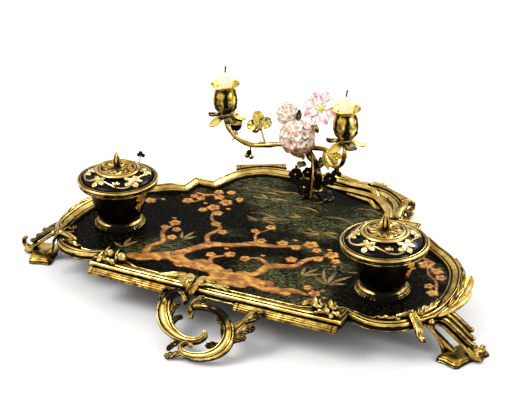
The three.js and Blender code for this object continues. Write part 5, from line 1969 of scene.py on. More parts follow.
    def sprigs(self, side: Side) -> list[Shell]:
        """The bud, thorn, stalk and berries on an arm.

        Args:
            side: left or right.

        Returns:
            Its shells.
        """
        if side is Side.RIGHT:
            return self.berries((0.27, -0.15, 0.37), (0.285, -0.215, 0.475), 0.8)
        shells = self.berries((-0.667, -0.15, 0.375), (-0.655, -0.15, 0.497), 0.0)
        shells.append(tube(self.route(((-0.5, -0.12, 0.51), (-0.53, -0.12, 0.6), (-0.565, -0.11, 0.69))),
                           [1.0 * MM] * 2, 14, 8))
        shells.append(tube(self.route(((-0.78, -0.185, 0.56), (-0.8, -0.16, 0.62), (-0.805, -0.14, 0.67))),
                           [1.5 * MM, 1.2 * MM], 12, 9))
        bud = ball(5.6 * MM, self.place((-0.81, -0.14, 0.675)), 20, (1, 1, 1.12), 0.85)
        hood = np.array(((0, 0), (5.8, 0), (6.5, 0.8), (6.3, 2.6), (5.2, 5), (2.8, 6.8), (0, 7.4))) * MM
        cap = turned(hood, 24)
        top = ball(2.7 * MM, self.place((-0.8, -0.14, 0.775)), 14)
        shells += [bud, cap.moved(shift=self.place((-0.81, -0.14, 0.69))), top]
        shells.append(tube(self.route(((-0.79, -0.19, 0.56), (-0.815, -0.19, 0.545), (-0.84, -0.19, 0.515))),
                           [0.9 * MM, 0.35 * MM], 8, 8, 0.5))
        shells.append(tube(self.route(((-0.58, -0.12, 0.51), (-0.55, -0.125, 0.535), (-0.5, -0.125, 0.53))),
                           [0.6 * MM] * 2, 10, 8, 0.2))
        return shells

    def leaves(self, side: Side) -> list[Shell]:
        """An arm's leaves: a scalloped one on a stalk on the left, pointed ones on the right.

        Args:
            side: left or right.

        Returns:
            Its shells.
        """
        if side is Side.RIGHT:
            rows = (
                (((0.12, -0.11, 0.57), (0.16, -0.14, 0.49), (0.185, -0.16, 0.385)), 4.4, 1, 0.0),
                (((0.22, -0.16, 0.5), (0.28, -0.2, 0.57), (0.37, -0.25, 0.585)), 3.6, 1, 0.0),
                (((0.14, -0.12, 0.56), (0.2, -0.17, 0.5), (0.27, -0.21, 0.44)), 4.0, 1, 0.1),
                (((0.3, -0.22, 0.49), (0.25, -0.2, 0.55), (0.17, -0.19, 0.59)), 3.2, 1, 0.15),
            )
        else:
            rows = (
                (((-0.565, -0.115, 0.7), (-0.63, -0.12, 0.695), (-0.7, -0.125, 0.7)), 6.0, 3, 0.34),
                (((-0.57, -0.11, 0.7), (-0.59, -0.1, 0.77), (-0.6, -0.09, 0.84)), 5.8, 3, 0.0),
                (((-0.575, -0.115, 0.7), (-0.51, -0.11, 0.735), (-0.45, -0.105, 0.77)), 5.8, 3, 0.36),
                (((-0.56, -0.12, 0.72), (-0.61, -0.125, 0.67), (-0.645, -0.125, 0.63)), 4.8, 3, 0.25),
            )
        shells = []
        for route, width, lobes, dark in rows:
            notch, blunt, veins = (0.12, 0.4, 0.4) if lobes > 1 else (0.04, 1.15, 0.1)
            leaf = Leaf(self.route(route), width * MM, lobes, notch, cup=0.1, reference=(0.35, -0.8, 0.5),
                        blunt=blunt, veins=veins)
            shells.append(leaf.shell(26, 11).shaded(dark))
        return shells

    def arm(self, side: Side) -> list[Shell]:
        """One branch arm with knots along it.

        Args:
            side: left or right.

        Returns:
            Its shells.
        """
        radii = self.arm_radius * np.array(self.knots)
        return [tube(self.route(self.arms[side]), radii, 90, 14, 0.12), *self.sprigs(side)]

    def build(self, gilt: Material, bright: Material) -> None:
        """Makes the branch's pieces.

        Args:
            gilt: Finish of mound, stems and arms.
            bright: Finish of the arms' leaves.
        """
        piece("rocky_mound", self.mound(), gilt, ["stem_mound"])
        piece("stems_and_leaves", self.trunk(), gilt, ["stem_trunk"])
        for side in SIDES:
            piece(f"branch_arm_{side}", self.arm(side), gilt, [f"arm_{side}"])
            piece(f"branch_leaves_{side}", self.leaves(side), bright)


@dataclass
class CandleCup:
    """A tulip cup on a leafy calyx, with its drip pan, candle and wick."""

    side: Side
    beads: NodeTree
    radius: float = 11 * MM
    height: float = 25 * MM
    bore: float = 7.4 * MM
    floor: float = 7 * MM
    calyx_height: float = 5 * MM
    pan_radius: float = 14.2 * MM
    pan_height: float = 4.5 * MM
    pan_wall: float = 1.1 * MM
    candle_radius: float = 6.9 * MM
    candle_height: float = 35 * MM
    wick_radius: float = 0.8 * MM
    wick_height: float = 7 * MM
    clear: float = 0.3 * MM

    @property
    def seat(self) -> np.ndarray:
        """The calyx's underside."""
        low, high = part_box(f"cup_{self.side}")
        return np.array([(low.x + high.x) / 2, (low.y + high.y) / 2, low.z - self.calyx_height])

    def put(self, shells: Sequence[Shell], rise: float = 0.0) -> list[Shell]:
        """Shells set on the cup's seat, raised by a distance."""
        return [s.moved(shift=self.seat + UP * rise) for s in shells]

    def calyx(self) -> list[Shell]:
        """Five pointed leaves round a hub.

        Returns:
            Its shells.
        """
        r, h = self.radius, self.calyx_height
        shells = [turned([(0, 0), (0.3 * r, 0), (0.42 * r, 0.5 * h), (0.36 * r, h), (0, h)], 24,
                         groove=[0.5, 0.5, 0, 0.6, 0.6])]
        for k, (droop, dark) in enumerate(((0.35, 0.1), (0.0, 0.0), (0.15, 0.5), (0.7, 0.0), (0.05, 0.5))):
            way = level(2 * np.pi * k / 5 + 0.5)
            rows = ((0.25, 0.55), (0.85, 0.45 - 0.3 * droop), (1.4, 0.3 - droop), (1.86, 0.45 - 2 * droop))
            route = [way * a * r + UP * b * h for a, b in rows]
            leaf = Leaf(route, 0.5 * r, 1, 0.05, cup=-0.2, blunt=0.85, veins=0.3)
            shells.append(leaf.shell(26, 11).shaded(dark))
        return shells

    def cup(self) -> list[Shell]:
        """The six-lobed tulip, with short sepals round its foot.

        Returns:
            Its shells.
        """
        r, h = self.radius, self.height
        outer = catmull(((0.4, 0), (0.8, 0.09), (1.03, 0.3), (1.1, 0.52), (1.04, 0.76), (0.88, 0.94),
                         (0.84, 1)), 30) * (r, h)
        profile = np.vstack([[0, 0], outer, [self.bore, h], [self.bore, self.floor], [0, self.floor]])

        def lobes(angle: np.ndarray, radius: np.ndarray, _: np.ndarray) -> np.ndarray:
            """Six lobes round the bowl."""
            return np.where(radius > 1.06 * self.bore, 0.7 * MM * (np.abs(np.sin(3 * angle)) ** 0.7 - 1), 0)

        bowl = turned(profile, 96, lobes)
        angle = np.arctan2(bowl.points[:, 1], bowl.points[:, 0])
        away = np.hypot(bowl.points[:, 0], bowl.points[:, 1])
        low = np.clip(1 - bowl.points[:, 2] / (0.5 * h), 0, 1)
        seams = 0.9 * (1 - np.abs(np.sin(3 * angle))) ** 2.4
        bowl.groove[:] = np.where(away > 1.03 * self.bore, np.clip(0.3 + 0.2 * low + seams, 0, 1), 0.7)
        shells = [bowl]
        for angle in np.pi * np.arange(6) / 3:
            steps = ((0.42, 0.02), (0.76, 0.1), (0.98, 0.24), (1.12, 0.34))
            route = [level(angle) * a * r + UP * b * h for a, b in steps]
            shells.append(Leaf(route, 2.4 * MM, 1, 0.05, 0.7 * MM, 0.2).shell(14, 7))
        return shells

    def pan(self) -> list[Shell]:
        """The dished drip pan with a rolled edge and a ring of bosses.

        Returns:
            Its shells.
        """
        r, h, wall, bore = self.pan_radius, self.pan_height, self.pan_wall, self.candle_radius + self.clear
        rows = (
            (bore, 0, 0.6), (0.6 * r, 0, 0.5), (0.78 * r, 0.24 * h, 0.1), (0.92 * r, 0.62 * h, 0),
            (0.985 * r, h, 0), (r, h + 0.3 * wall, 0), (0.985 * r, h + 0.6 * wall, 0),
            (0.955 * r, h + 0.5 * wall, 0), (0.93 * r, h + 0.05 * wall, 0.2), (0.84 * r, 0.5 * h + wall, 0),
            (0.72 * r, 0.24 * h + wall, 0), (0.6 * r, 1.15 * wall, 0), (bore, 1.2 * wall, 0.2),
        )
        dish = turned([(a, b) for a, b, _ in rows], 64, groove=[c for _, _, c in rows])
        mesh = grown(self.beads, "pan_bosses", Radius=0.875 * r, Height=0.62 * h + wall, Bead=0.75 * MM,
                     Tall=0.7, Count=11)
        return [dish, shell_of(mesh, groove=0.95)]

    def candle(self) -> list[Shell]:
        """A short candle with a softened, dished top.

        Returns:
            Its shells.
        """
        r, h = self.candle_radius, self.candle_height
        rows = (
            (0, 0), (r, 0), (r, 0.86 * h), (r, 0.92 * h), (0.97 * r, 0.965 * h), (0.9 * r, 0.99 * h),
            (0.78 * r, h), (0.6 * r, 0.985 * h), (0.35 * r, 0.972 * h), (0, 0.97 * h),
        )

        def runs(angle: np.ndarray, radius: np.ndarray, height: np.ndarray) -> np.ndarray:
            """Softened, uneven flanks near the top."""
            return np.where(height > 0.8 * h, -0.02 * radius * (1 + np.sin(2 * angle + 1)), 0)

        return [turned(rows, 40, runs)]

    def wick(self) -> list[Shell]:
        """The burnt wick, bent at its tip.

        Returns:
            Its shells.
        """
        h = self.wick_height
        route = [np.array(p) * h for p in ((0, 0, 0), (0.01, 0, 0.35), (0.06, -0.02, 0.7), (0.2, -0.06, 1.0))]
        r = self.wick_radius
        return [tube(route, [0.9 * r, r, r, 1.05 * r, 1.15 * r, 0.5 * r], 18, 10)]

    def build(self, bright: Material, wax: Material, cotton: Material) -> None:
        """Makes the cup's pieces.

        Args:
            bright: Finish of calyx, cup and pan.
            wax: The candle's finish.
            cotton: The wick's finish.
        """
        s, foot = self.side, self.calyx_height + self.floor
        rim, tip = self.calyx_height + self.height, foot + 0.97 * self.candle_height + self.clear
        piece(f"calyx_leaves_{s}", self.put(self.calyx()), bright, [f"calyx_{s}"])
        piece(f"tulip_cup_{s}", self.put(self.cup(), self.calyx_height), bright, [f"cup_{s}"])
        piece(f"wax_pan_{s}", self.put(self.pan(), rim), bright, [f"drip_pan_{s}"], body=f"pan_{s}")
        piece(f"wax_candle_{s}", self.put(self.candle(), foot), wax, [f"candle_{s}"], f"taper_{s}")
        piece(f"burnt_wick_{s}", self.put(self.wick(), tip), cotton, [f"wick_{s}"], f"taper_{s}")


def floret_ball(name: str, material: Material) -> NodeTree:
    """A Geometry Nodes tree that sets a floret on every point of a ball, facing outwards.

    Args:
        name: The tree's name.
        material: The florets' finish.

    Returns:
        The tree, with the inputs Geometry (one floret), Radius, Size and Seed.
    """
    sockets = {"Geometry": "Geometry", "Radius": "Float", "Size": "Float", "Seed": "Int"}
    tree, given = new_grower(name, sockets)
    core = add_node(tree, "GeometryNodeMeshIcoSphere", {"Radius": given["Radius"], "Subdivisions": 2})
    outward = add_node(tree, "GeometryNodeInputNormal")
    facing = add_node(tree, "FunctionNodeAlignRotationToVector", {"Vector": outward}, axis="Z")
    turns, sizes = {2: 0.0, 3: 6.28, "Seed": given["Seed"]}, {2: 0.85, 3: 1.15, "Seed": given["Seed"]}
    spin = add_node(tree, "FunctionNodeRandomValue", turns, 1, data_type="FLOAT")
    about = add_node(tree, "ShaderNodeCombineXYZ", {2: spin})
    turned_to = add_node(tree, "FunctionNodeRotateRotation", (facing, about), rotation_space="LOCAL")
    size = add_node(tree, "FunctionNodeRandomValue", sizes, 1, data_type="FLOAT")
    scale = add_node(tree, "ShaderNodeMath", (size, given["Size"]), operation="MULTIPLY")
    inputs = {"Points": core, "Instance": given["Geometry"], "Rotation": turned_to, "Scale": scale}
    return end_grower(tree, add_node(tree, "GeometryNodeInstanceOnPoints", inputs), material)


@dataclass
class Blooms:
    """The porcelain flowers: two balls of florets and a lily."""

    branch: CandleBranch
    large_radius: float = 18 * MM
    small_radius: float = 11.5 * MM
    lily_radius: float = 17.5 * MM
    large: tuple = ((-0.115, -0.22, 0.7), (-0.08, -0.04, 0.54))
    small: tuple = ((-0.27, -0.12, 0.88), (-0.09, -0.04, 0.55))
    lily: tuple = ((0.07, -0.09, 0.97), (-0.07, -0.04, 0.54))
    stalk_leaves: tuple = (
        (((-0.16, -0.17, 0.86), (-0.12, -0.19, 0.9), (-0.115, -0.18, 0.97)), 3.0),
        (((0.02, -0.2, 0.84), (0.06, -0.22, 0.84), (0.1, -0.22, 0.78)), 3.2),
    )
    tilt: tuple = (0.9, 0.2)
    florets: int = 42

    @property
    def turn(self) -> np.ndarray:
        """The lily's turn to the front."""
        return np.array(Matrix.Rotation(self.tilt[1], 3, "Y") @ Matrix.Rotation(self.tilt[0], 3, "X"))

    def floret(self) -> bpy.types.Mesh:
        """One small open flower of five round petals, a unit across its half width.

        Returns:
            Its mesh.
        """
        rows = ((0.1, 0.12, 1.2), (0.35, 0.1, 0.55), (0.72, 0.3, -0.1), (1.0, 0.38, 0.7),
                (0.97, 0.22, 0.9), (0.4, -0.1, 0.7), (0.1, -0.12, 0.7))
        spokes = 20
        angle = np.linspace(0, 2 * np.pi, spokes, endpoint=False)
        lobe = 0.78 + 0.22 * np.abs(np.cos(2.5 * angle)) ** 0.6
        x, y = lobe * np.cos(angle), lobe * np.sin(angle)
        rings = [np.column_stack([s * x, s * y, np.full(spokes, z)]) for s, z, _ in rows]
        shades = np.repeat(np.array([g for _, _, g in rows])[:, None], spokes, 1)
        shades[2] += 0.35 * (1 - np.abs(np.cos(2.5 * angle))) ** 2
        shell = grid_shell(np.stack(rings), shades)
        mesh = bpy.data.meshes.new("floret")
        mesh.from_pydata(shell.points.tolist(), [], shell.faces)
        layer = mesh.attributes.new("groove", "FLOAT", "POINT")
        layer.data.foreach_set("value", shell.groove.astype(np.float32))
        return mesh

    def head(self, tree: NodeTree, seat: Sequence[float], radius: float, rust_below: float,
             seed: int) -> list[Shell]:
        """A ball of florets on its heart, with rust red florets underneath.

        Args:
            tree: The floret tree.
            seat: The ball's centre, as shares of the branch.
            radius: Its whole radius.
            rust_below: Heights under this share of the radius are washed rust red.
            seed: Seed of the florets' turns and sizes.

        Returns:
            Its shells.
        """
        centre = self.branch.place(seat)
        mesh = grown(tree, "florets", base=self.floret(), Radius=0.8 * radius, Size=0.335 * radius, Seed=seed)
        heads = shell_of(mesh, centre)
        low = (heads.points[:, 2] - centre[2]) / radius
        heads.groove += np.clip((rust_below - low) / 0.3, 0, 1)
        tones = np.random.default_rng(seed).uniform(-0.15, 0.4, self.florets)
        heads.groove += np.repeat(tones, len(heads.points) // self.florets)
        return [ball(0.78 * radius, centre, 20, groove=0.8), heads]

    def lily_shells(self) -> list[Shell]:
        """Eight long petals, tilted to the front.

        Returns:
            Its shells.
        """
        r, centre = self.lily_radius, self.branch.place(self.lily[0])
        shells = []
        for k, rosy in enumerate((0.9, 0.3, 0.55, 0.95, 0.4, 0.8, 0.35, 0.6)):
            way, lift = level(2 * np.pi * k / 8), 0.06 * (k % 2)
            route = [way * a * r + UP * (b + lift) * r
                     for a, b in ((0.1, 0.02), (0.4, 0.1), (0.72, 0.2), (1.0, 0.16))]
            petal = Leaf(route, 0.27 * r, 1, 0.02, 0.9 * MM, 0.25, blunt=0.7).shell(30, 15)
            along = np.linalg.norm(petal.points[:, :2], axis=1) / r
            across = np.abs(petal.points[:, :2] @ np.array([-way[1], way[0]])) / (0.27 * r)
            blush = np.clip(2.4 * (along - 0.4), 0, 1) * rosy * (0.35 + 0.95 * (across < 0.4))
            petal.groove[:] = blush + 0.12 + 0.6 * (across > 0.7)
            shells.append(petal.moved(self.turn, centre))
        return shells

    def hearts(self) -> list[Shell]:
        """The lily's yellow-green heart and its stamens.

        Returns:
            Their shells.
        """
        r, centre = self.lily_radius, self.branch.place(self.lily[0])
        shells = [ball(0.17 * r, (0, 0, 0.1 * r), 14, groove=0.2)]
        for angle in 2 * np.pi * np.arange(7) / 7:
            shells.append(ball(0.045 * r, level(angle) * 0.25 * r + UP * 0.22 * r, 8, groove=0.9))
        return [s.moved(self.turn, centre) for s in shells]

    def stalks(self) -> list[Shell]:
        """The wires that carry the flowers from the knop.

        Returns:
            Their shells.
        """
        shells = []
        for seat, root in (self.large, self.small, self.lily):
            start, end = self.branch.place(root), self.branch.place(seat)
            bow = (start + end) / 2 + UP * self.branch.arm_radius
            shells.append(tube([start, bow, end], [1.3 * MM] * 2, 16, 9, 0.5))
        for rows, width in self.stalk_leaves:
            route = tuple(self.branch.route(rows))
            leaf = Leaf(route, width * MM, 2, 0.2, cup=0.2, reference=(0.35, -0.8, 0.5), veins=0.6)
            shells.append(leaf.shell(20, 9).shaded(0.25))
        return shells

    def build(self, gilt: Material) -> None:
        """Makes the flowers.

        Args:
            gilt: The stalks' finish.
        """
        white = Porcelain().build()
        heart = Porcelain("yellow_enamelled_porcelain", "#E9D545", "#6E8A2A", "#4B5A1C").build()
        rosy = Porcelain("rose_tipped_porcelain", "#FCF3EA", "#D68C94", "#8E2E3A").build()
        tree = floret_ball("floret_ball", white)
        large = self.head(tree, self.large[0], self.large_radius, -0.28, 3)
        small = self.head(tree, self.small[0], self.small_radius, -1.0, 8)
        piece("floret_ball_large", large, white, ["flower_ball_large"])
        piece("floret_ball_small", small, white, ["flower_ball_small"])
        piece("lily_petals", self.lily_shells(), rosy, ["flower_lily"])
        piece("lily_heart", self.hearts(), heart)
        piece("flower_stalks", self.stalks(), gilt)


# Raised lacquer on the panel


@dataclass
class GoldPainting:
    """Raised gold lacquer on the panel: an old plum tree in flower, sprays, bamboo and drifting clouds.

    Places are millimetres right of the tray's middle and back from its front edge.
    """

    outline: Outline
    tray_top: float = field(default_factory=lambda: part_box("tray_panel")[1].z)
    relief: float = 0.5 * MM
    seat: float = 0.02 * MM
    outlining: float = 0.8
    limbs: tuple = (
        ((-102, 35, 5), (-86, 38, 7), (-66, 50, 8), (-44, 44, 7), (-22, 46, 8.5), (0, 34, 10), (22, 38, 8),
         (44, 34, 6), (62, 40, 4), (76, 38, 1)),
        ((-66, 50, 6), (-56, 66, 5), (-44, 84, 5.5), (-26, 92, 4), (-6, 104, 4.5), (14, 108, 3),
         (36, 120, 1)),
        ((4, 36, 6), (18, 52, 4.5), (24, 70, 5), (42, 80, 3.4), (50, 98, 3), (64, 110, 1)),
        ((-86, 38, 4), (-92, 56, 3.6), (-86, 72, 3), (-96, 90, 2.4), (-92, 106, 0.8)),
        ((-44, 84, 3), (-54, 100, 2.6), (-50, 118, 2.2), (-66, 132, 1.8), (-74, 150, 0.6)),
        ((24, 70, 2.6), (10, 80, 2.2), (0, 76, 0.8)), ((-22, 46, 3.4), (-30, 62, 2.4), (-20, 72, 0.8)),
        ((-6, 104, 2), (-14, 122, 1.6), (-6, 136, 0.6)),
        ((-109, 178, 2.2), (-98, 176, 2.4), (-88, 180, 1.8), (-72, 170, 0.7)),
        ((-98, 176, 1.6), (-96, 164, 1.2), (-104, 154, 0.5)),
        ((156, 138, 2.2), (136, 146, 2.4), (112, 150, 2), (92, 156, 1.4), (78, 148, 0.6)),
        ((136, 146, 1.5), (120, 158, 1.1), (104, 172, 0.5)),
        ((172, 92, 1.8), (166, 108, 1.6), (156, 118, 1.2), (150, 132, 0.5)),
        ((-172, 96, 1.6), (-168, 116, 1.6), (-156, 132, 1.2), (-142, 140, 0.5)),
    )
    knots: tuple = (
        (-74, 43, 7, 0.3), (-34, 50, 9, -0.2), (-4, 41, 12, 0.1), (14, 30, 8, -0.4), (34, 41, 8, 0.3),
        (56, 33, 6, 0), (-92, 35, 7, 0.4), (-50, 40, 7, 0.2), (-12, 30, 7, 0.6), (8, 46, 8, 0.9),
        (-60, 57, 7, -0.5),
    )
    blossoms: tuple = (
        (40, 124, 8), (30, 113, 5.5), (50, 116, 5), (16, 116, 6), (-4, 112, 5), (-8, 140, 5.5),
        (-18, 127, 4.5), (66, 114, 7.5), (57, 102, 5.5), (73, 104, 5), (36, 90, 6), (-2, 74, 5.5),
        (-94, 110, 6.5), (-86, 98, 5), (-99, 98, 4.5), (-82, 82, 5.5), (-76, 155, 7.5), (-67, 146, 5.5),
        (-84, 146, 5), (-58, 124, 5.5), (-44, 112, 5), (-18, 76, 6), (-34, 68, 5), (79, 43, 6), (70, 50, 4.5),
        (-70, 170, 7.5), (-82, 178, 6), (-88, 188, 5.5), (-76, 192, 5), (-106, 158, 6.5), (-97, 168, 5),
        (-106, 170, 4.5), (-62, 182, 4.5), (76, 146, 8), (88, 148, 5.5), (86, 162, 6.5), (98, 154, 5.5),
        (110, 160, 7), (122, 150, 5.5), (102, 178, 7), (94, 186, 5), (118, 166, 5), (134, 140, 6.5),
        (132, 152, 5), (148, 134, 8), (160, 126, 6.5), (154, 146, 6), (168, 116, 5.5), (170, 88, 6),
        (163, 98, 5), (-140, 142, 6.5), (-151, 136, 5.5), (-164, 124, 5.5), (-160, 138, 5), (-172, 102, 5),
    )
    buds: tuple = (
        (24, 126, 2.6), (60, 122, 2.4), (76, 95, 2.4), (-100, 118, 2.6), (-62, 158, 2.6), (-88, 160, 2.4),
        (90, 40, 2.6), (84, 50, 2.2), (-60, 178, 2.6), (-90, 206, 2.4), (64, 156, 2.8), (96, 194, 2.4),
        (140, 122, 2.6), (-130, 150, 2.4), (10, 86, 2.4), (-26, 84, 2.4), (130, 196, 2.4), (66, 138, 2.2),
    )
    bamboo: tuple = (
        (84, 62, ((95, 24), (120, 30), (60, 26), (150, 20), (30, 16))),
        (58, 66, ((70, 22), (40, 18), (105, 18))), (-112, 46, ((100, 20), (130, 22), (70, 18), (160, 14))),
        (-70, 82, ((120, 18), (85, 20), (55, 14))),
        (-24, 150, ((20, 22), (-10, 18), (50, 18), (170, 16), (195, 12))),
        (40, 150, ((200, 20), (170, 18), (225, 16), (20, 16), (-15, 18))),
        (96, 118, ((95, 18), (60, 20), (125, 16), (20, 14))), (-128, 172, ((30, 18), (60, 14), (-10, 16))),
        (-36, 196, ((185, 18), (150, 14), (10, 20), (-20, 14))), (134, 116, ((80, 14), (45, 12))),
        (10, 172, ((190, 14), (160, 12))),
    )
    clouds: tuple = (
        ((-66, 214), (-50, 218), (-34, 215), (-18, 219), (-2, 214)), ((-52, 206), (-38, 209), (-24, 206)),
        ((50, 212), (64, 216), (78, 211), (92, 203)), ((-40, 160), (-26, 164), (-12, 160), (4, 163)),
        ((-10, 190), (8, 193), (22, 188)), ((90, 90), (100, 93), (108, 90)),
        ((26, 182), (44, 186), (60, 181)),
    )
    clear_spots: tuple = ((-139.7, 85.3, 27), (129.8, 73.2, 27), (3.9, 221.1, 20))

    def free(self, x: float, y: float, reach: float) -> bool:
        """Whether a spot keeps clear of the rim and of what stands on the panel.

        Args:
            x: Millimetres right of the middle.
            y: Millimetres back from the front edge.
            reach: The room that it needs.

        Returns:
            True where it is free.
        """
        rows = np.vstack([self.outline.run(part, 1)[:, 2:] for part in Part]) / MM
        rows[:, 1] -= self.outline.front / MM
        turn = np.unwrap(np.arctan2(rows[:, 1] - y, rows[:, 0] - abs(x)))
        clear = np.hypot(rows[:, 0] - abs(x), rows[:, 1] - y).min() > reach
        inside = bool(turn[-1] - turn[0] > 0.1 and clear)
        return inside and all(math.hypot(x - a, y - b) > r + reach for a, b, r in self.clear_spots)

    def at(self, rows: np.ndarray) -> np.ndarray:
        """Rows of millimetres right, back and up as places in the shared frame.

        Args:
            rows: The rows.

        Returns:
            The places.
        """
        out = np.asarray(rows, float) * MM
        out[..., 1] += self.outline.front
        out[..., 2] += self.tray_top
        return out

    def ribbon(self, rows: Sequence, seed: int, ragged: float = 0.16, steps_each: int = 12,
               height: float = 1.0) -> Shell:
        """A strip with a low rounded back and a ragged edge.

        Args:
            rows: Right, back and half width of each point.
            seed: Seed of the edge's raggedness.
            ragged: How far the edge strays, as a share of the half width.
            steps_each: Rings between two points.
            height: Share of the relief.

        Returns:
            The shell.
        """
        random = np.random.default_rng(seed)
        steps = (len(rows) - 1) * steps_each + 1
        line = catmull(rows, steps)
        middle, half = line[:, :2], np.maximum(line[:, 2], 0.25)
        way = unit(np.gradient(middle, axis=0))
        side = np.column_stack([-way[:, 1], way[:, 0]])
        coarse = random.uniform(-1, 1, (2, steps // 5 + 3))
        stray = [1 + ragged * catmull(np.column_stack([c, c]), steps)[:, 0] for c in coarse]
        ends = np.clip(np.minimum(np.arange(steps), np.arange(steps)[::-1]) / 3 + 0.25, 0, 1)
        near = np.minimum(self.outlining / half, 0.32)[:, None]
        one = np.ones_like(near)
        across = np.hstack([-one, near - 1, 1.6 * near - 1, -0.3 * one, 0 * one, 0.3 * one, 1 - 1.6 * near,
                            1 - near, one])
        lift = np.array([0.1, 0.75, 0.95, 0.85, 1, 0.85, 0.95, 0.75, 0.1]) * self.relief / MM * height
        shade = np.array([1, 0.9, 0.15, 0.1, 0, 0.1, 0.15, 0.9, 1])
        reach = np.where(across < 0, stray[0][:, None], stray[1][:, None]) * (half * ends)[:, None]
        top = np.concatenate([middle[:, None] + side[:, None] * (across * reach)[..., None],
                              np.broadcast_to(lift[None, :, None], (steps, 9, 1))], 2)
        base = top[:, [8, 0]].copy()
        base[:, :, 2] = -self.seat / MM
        shades = np.broadcast_to(np.append(shade, [1, 1]), (steps, 11)).copy()
        bark = random.uniform(-0.15, 0.3, (steps // 2 + 1, 11)).repeat(2, 0)[:steps]
        shades[:, 2:7] += bark[:, 2:7]
        return grid_shell(self.at(np.concatenate([top, base], 1)), shades)

    def blossom(self, x: float, y: float, radius: float, seed: int) -> Shell:
        """A five-petalled flower seen from above.

        Args:
            x: Its place to the right.
            y: Its place to the back.
            radius: Its radius in millimetres.
            seed: Seed of its turn.

        Returns:
            The shell.
        """
        spokes = 50
        turn = seed * 0.7
        angle = np.linspace(0, 2 * np.pi, spokes, endpoint=False)
        petal = np.abs(np.cos(2.5 * (angle - turn)))
        edge = radius * (0.66 + 0.34 * petal**0.55) * (1 + 0.08 * np.cos(angle - 2 * turn))
        rows = ((0.12, 1.0, 0.2), (0.2, 1.0, 1.0), (0.32, 0.7, 0.5), (0.45, 0.85, 0.0), (0.78, 1.0, 0.05),
                (0.87, 0.8, 0.95), (1.0, 0.1, 1.0), (0.96, -self.seat / self.relief, 1.0))
        rings = []
        for s, h, _ in rows:
            up = np.full(spokes, h * self.relief / MM)
            rings.append(np.column_stack([x + s * edge * np.cos(angle), y + s * edge * np.sin(angle), up]))
        between = np.array([0, 0, 1, 1, 1, 0, 0, 0])[:, None]
        shades = np.array([g for _, _, g in rows])[:, None] + 0.75 * (1 - petal)[None] ** 4 * between
        return grid_shell(self.at(np.stack(rings)), np.clip(shades, 0, 1))

    def bud(self, x: float, y: float, radius: float) -> Shell:
        """A closed bud."""
        tip = (x + radius, y + 0.3 * radius, 0.4 * radius)
        return self.ribbon(((x - radius, y, 0.4 * radius), (x, y, 0.8 * radius), tip), 5, 0, 4)

    def leaf(self, x: float, y: float, degrees: float, length: float) -> Shell:
        """A long pointed leaf.

        Args:
            x: Its root's place to the right.
            y: Its root's place to the back.
            degrees: The way that it points.
            length: Its length in millimetres.

        Returns:
            The shell.
        """
        a = math.radians(degrees)
        way = np.array([math.cos(a), math.sin(a)]) * length
        bend = np.array([-way[1], way[0]]) * 0.06
        rows = [(x + way[0] * t + bend[0] * k, y + way[1] * t + bend[1] * k, w)
                for t, k, w in ((0.04, 0, 0.3), (0.3, 1, 1.7), (0.6, 1, 1.9), (1, 0, 0.25))]
        return self.ribbon(rows, int(length), 0.04, 5, 0.8)

    def build(self, gold: Material, red: Material, olive: Material) -> None:
        """Makes the four layers of the painting.

        Args:
            gold: Finish of the boughs.
            red: Finish of the blossoms.
            olive: Finish of bamboo and clouds.
        """
        wood = [self.ribbon(rows, 10 + k) for k, rows in enumerate(self.limbs)]
        for k, (x, y, r, lean) in enumerate(self.knots):
            rows = [(x + r * t * math.cos(lean), y + r * t * math.sin(lean), r * w)
                    for t, w in ((-1, 0.2), (-0.55, 0.62), (0, 0.8), (0.5, 0.6), (1, 0.2))]
            wood.append(self.ribbon(rows, 60 + k, 0.25, 5, 0.96))
        flowers = [self.blossom(x, y, r, k) for k, (x, y, r) in enumerate(self.blossoms)
                   if self.free(x, y, r)]
        flowers += [self.bud(x, y, r) for x, y, r in self.buds if self.free(x, y, r)]
        leaves = []
        for x, y, blades in self.bamboo:
            for angle, length in blades:
                way = np.array([math.cos(math.radians(angle)), math.sin(math.radians(angle))]) * length
                if all(self.free(x + t * way[0], y + t * way[1], 2) for t in (0, 0.5, 1)):
                    leaves.append(self.leaf(x, y, angle, length))
        for k, points in enumerate(self.clouds):
            widths = np.interp(np.linspace(0, 1, len(points)), [0, 0.5, 1], [0.4, 1.5, 0.4])
            leaves.append(self.ribbon([(*p, w) for p, w in zip(points, widths)], 90 + k, 0.3, 8, 0.6))
        piece("gold_plum_boughs", wood, gold)
        piece("red_gold_blossoms", flowers, red)
        piece("bamboo_and_clouds", leaves, olive)


# Leaf clasps


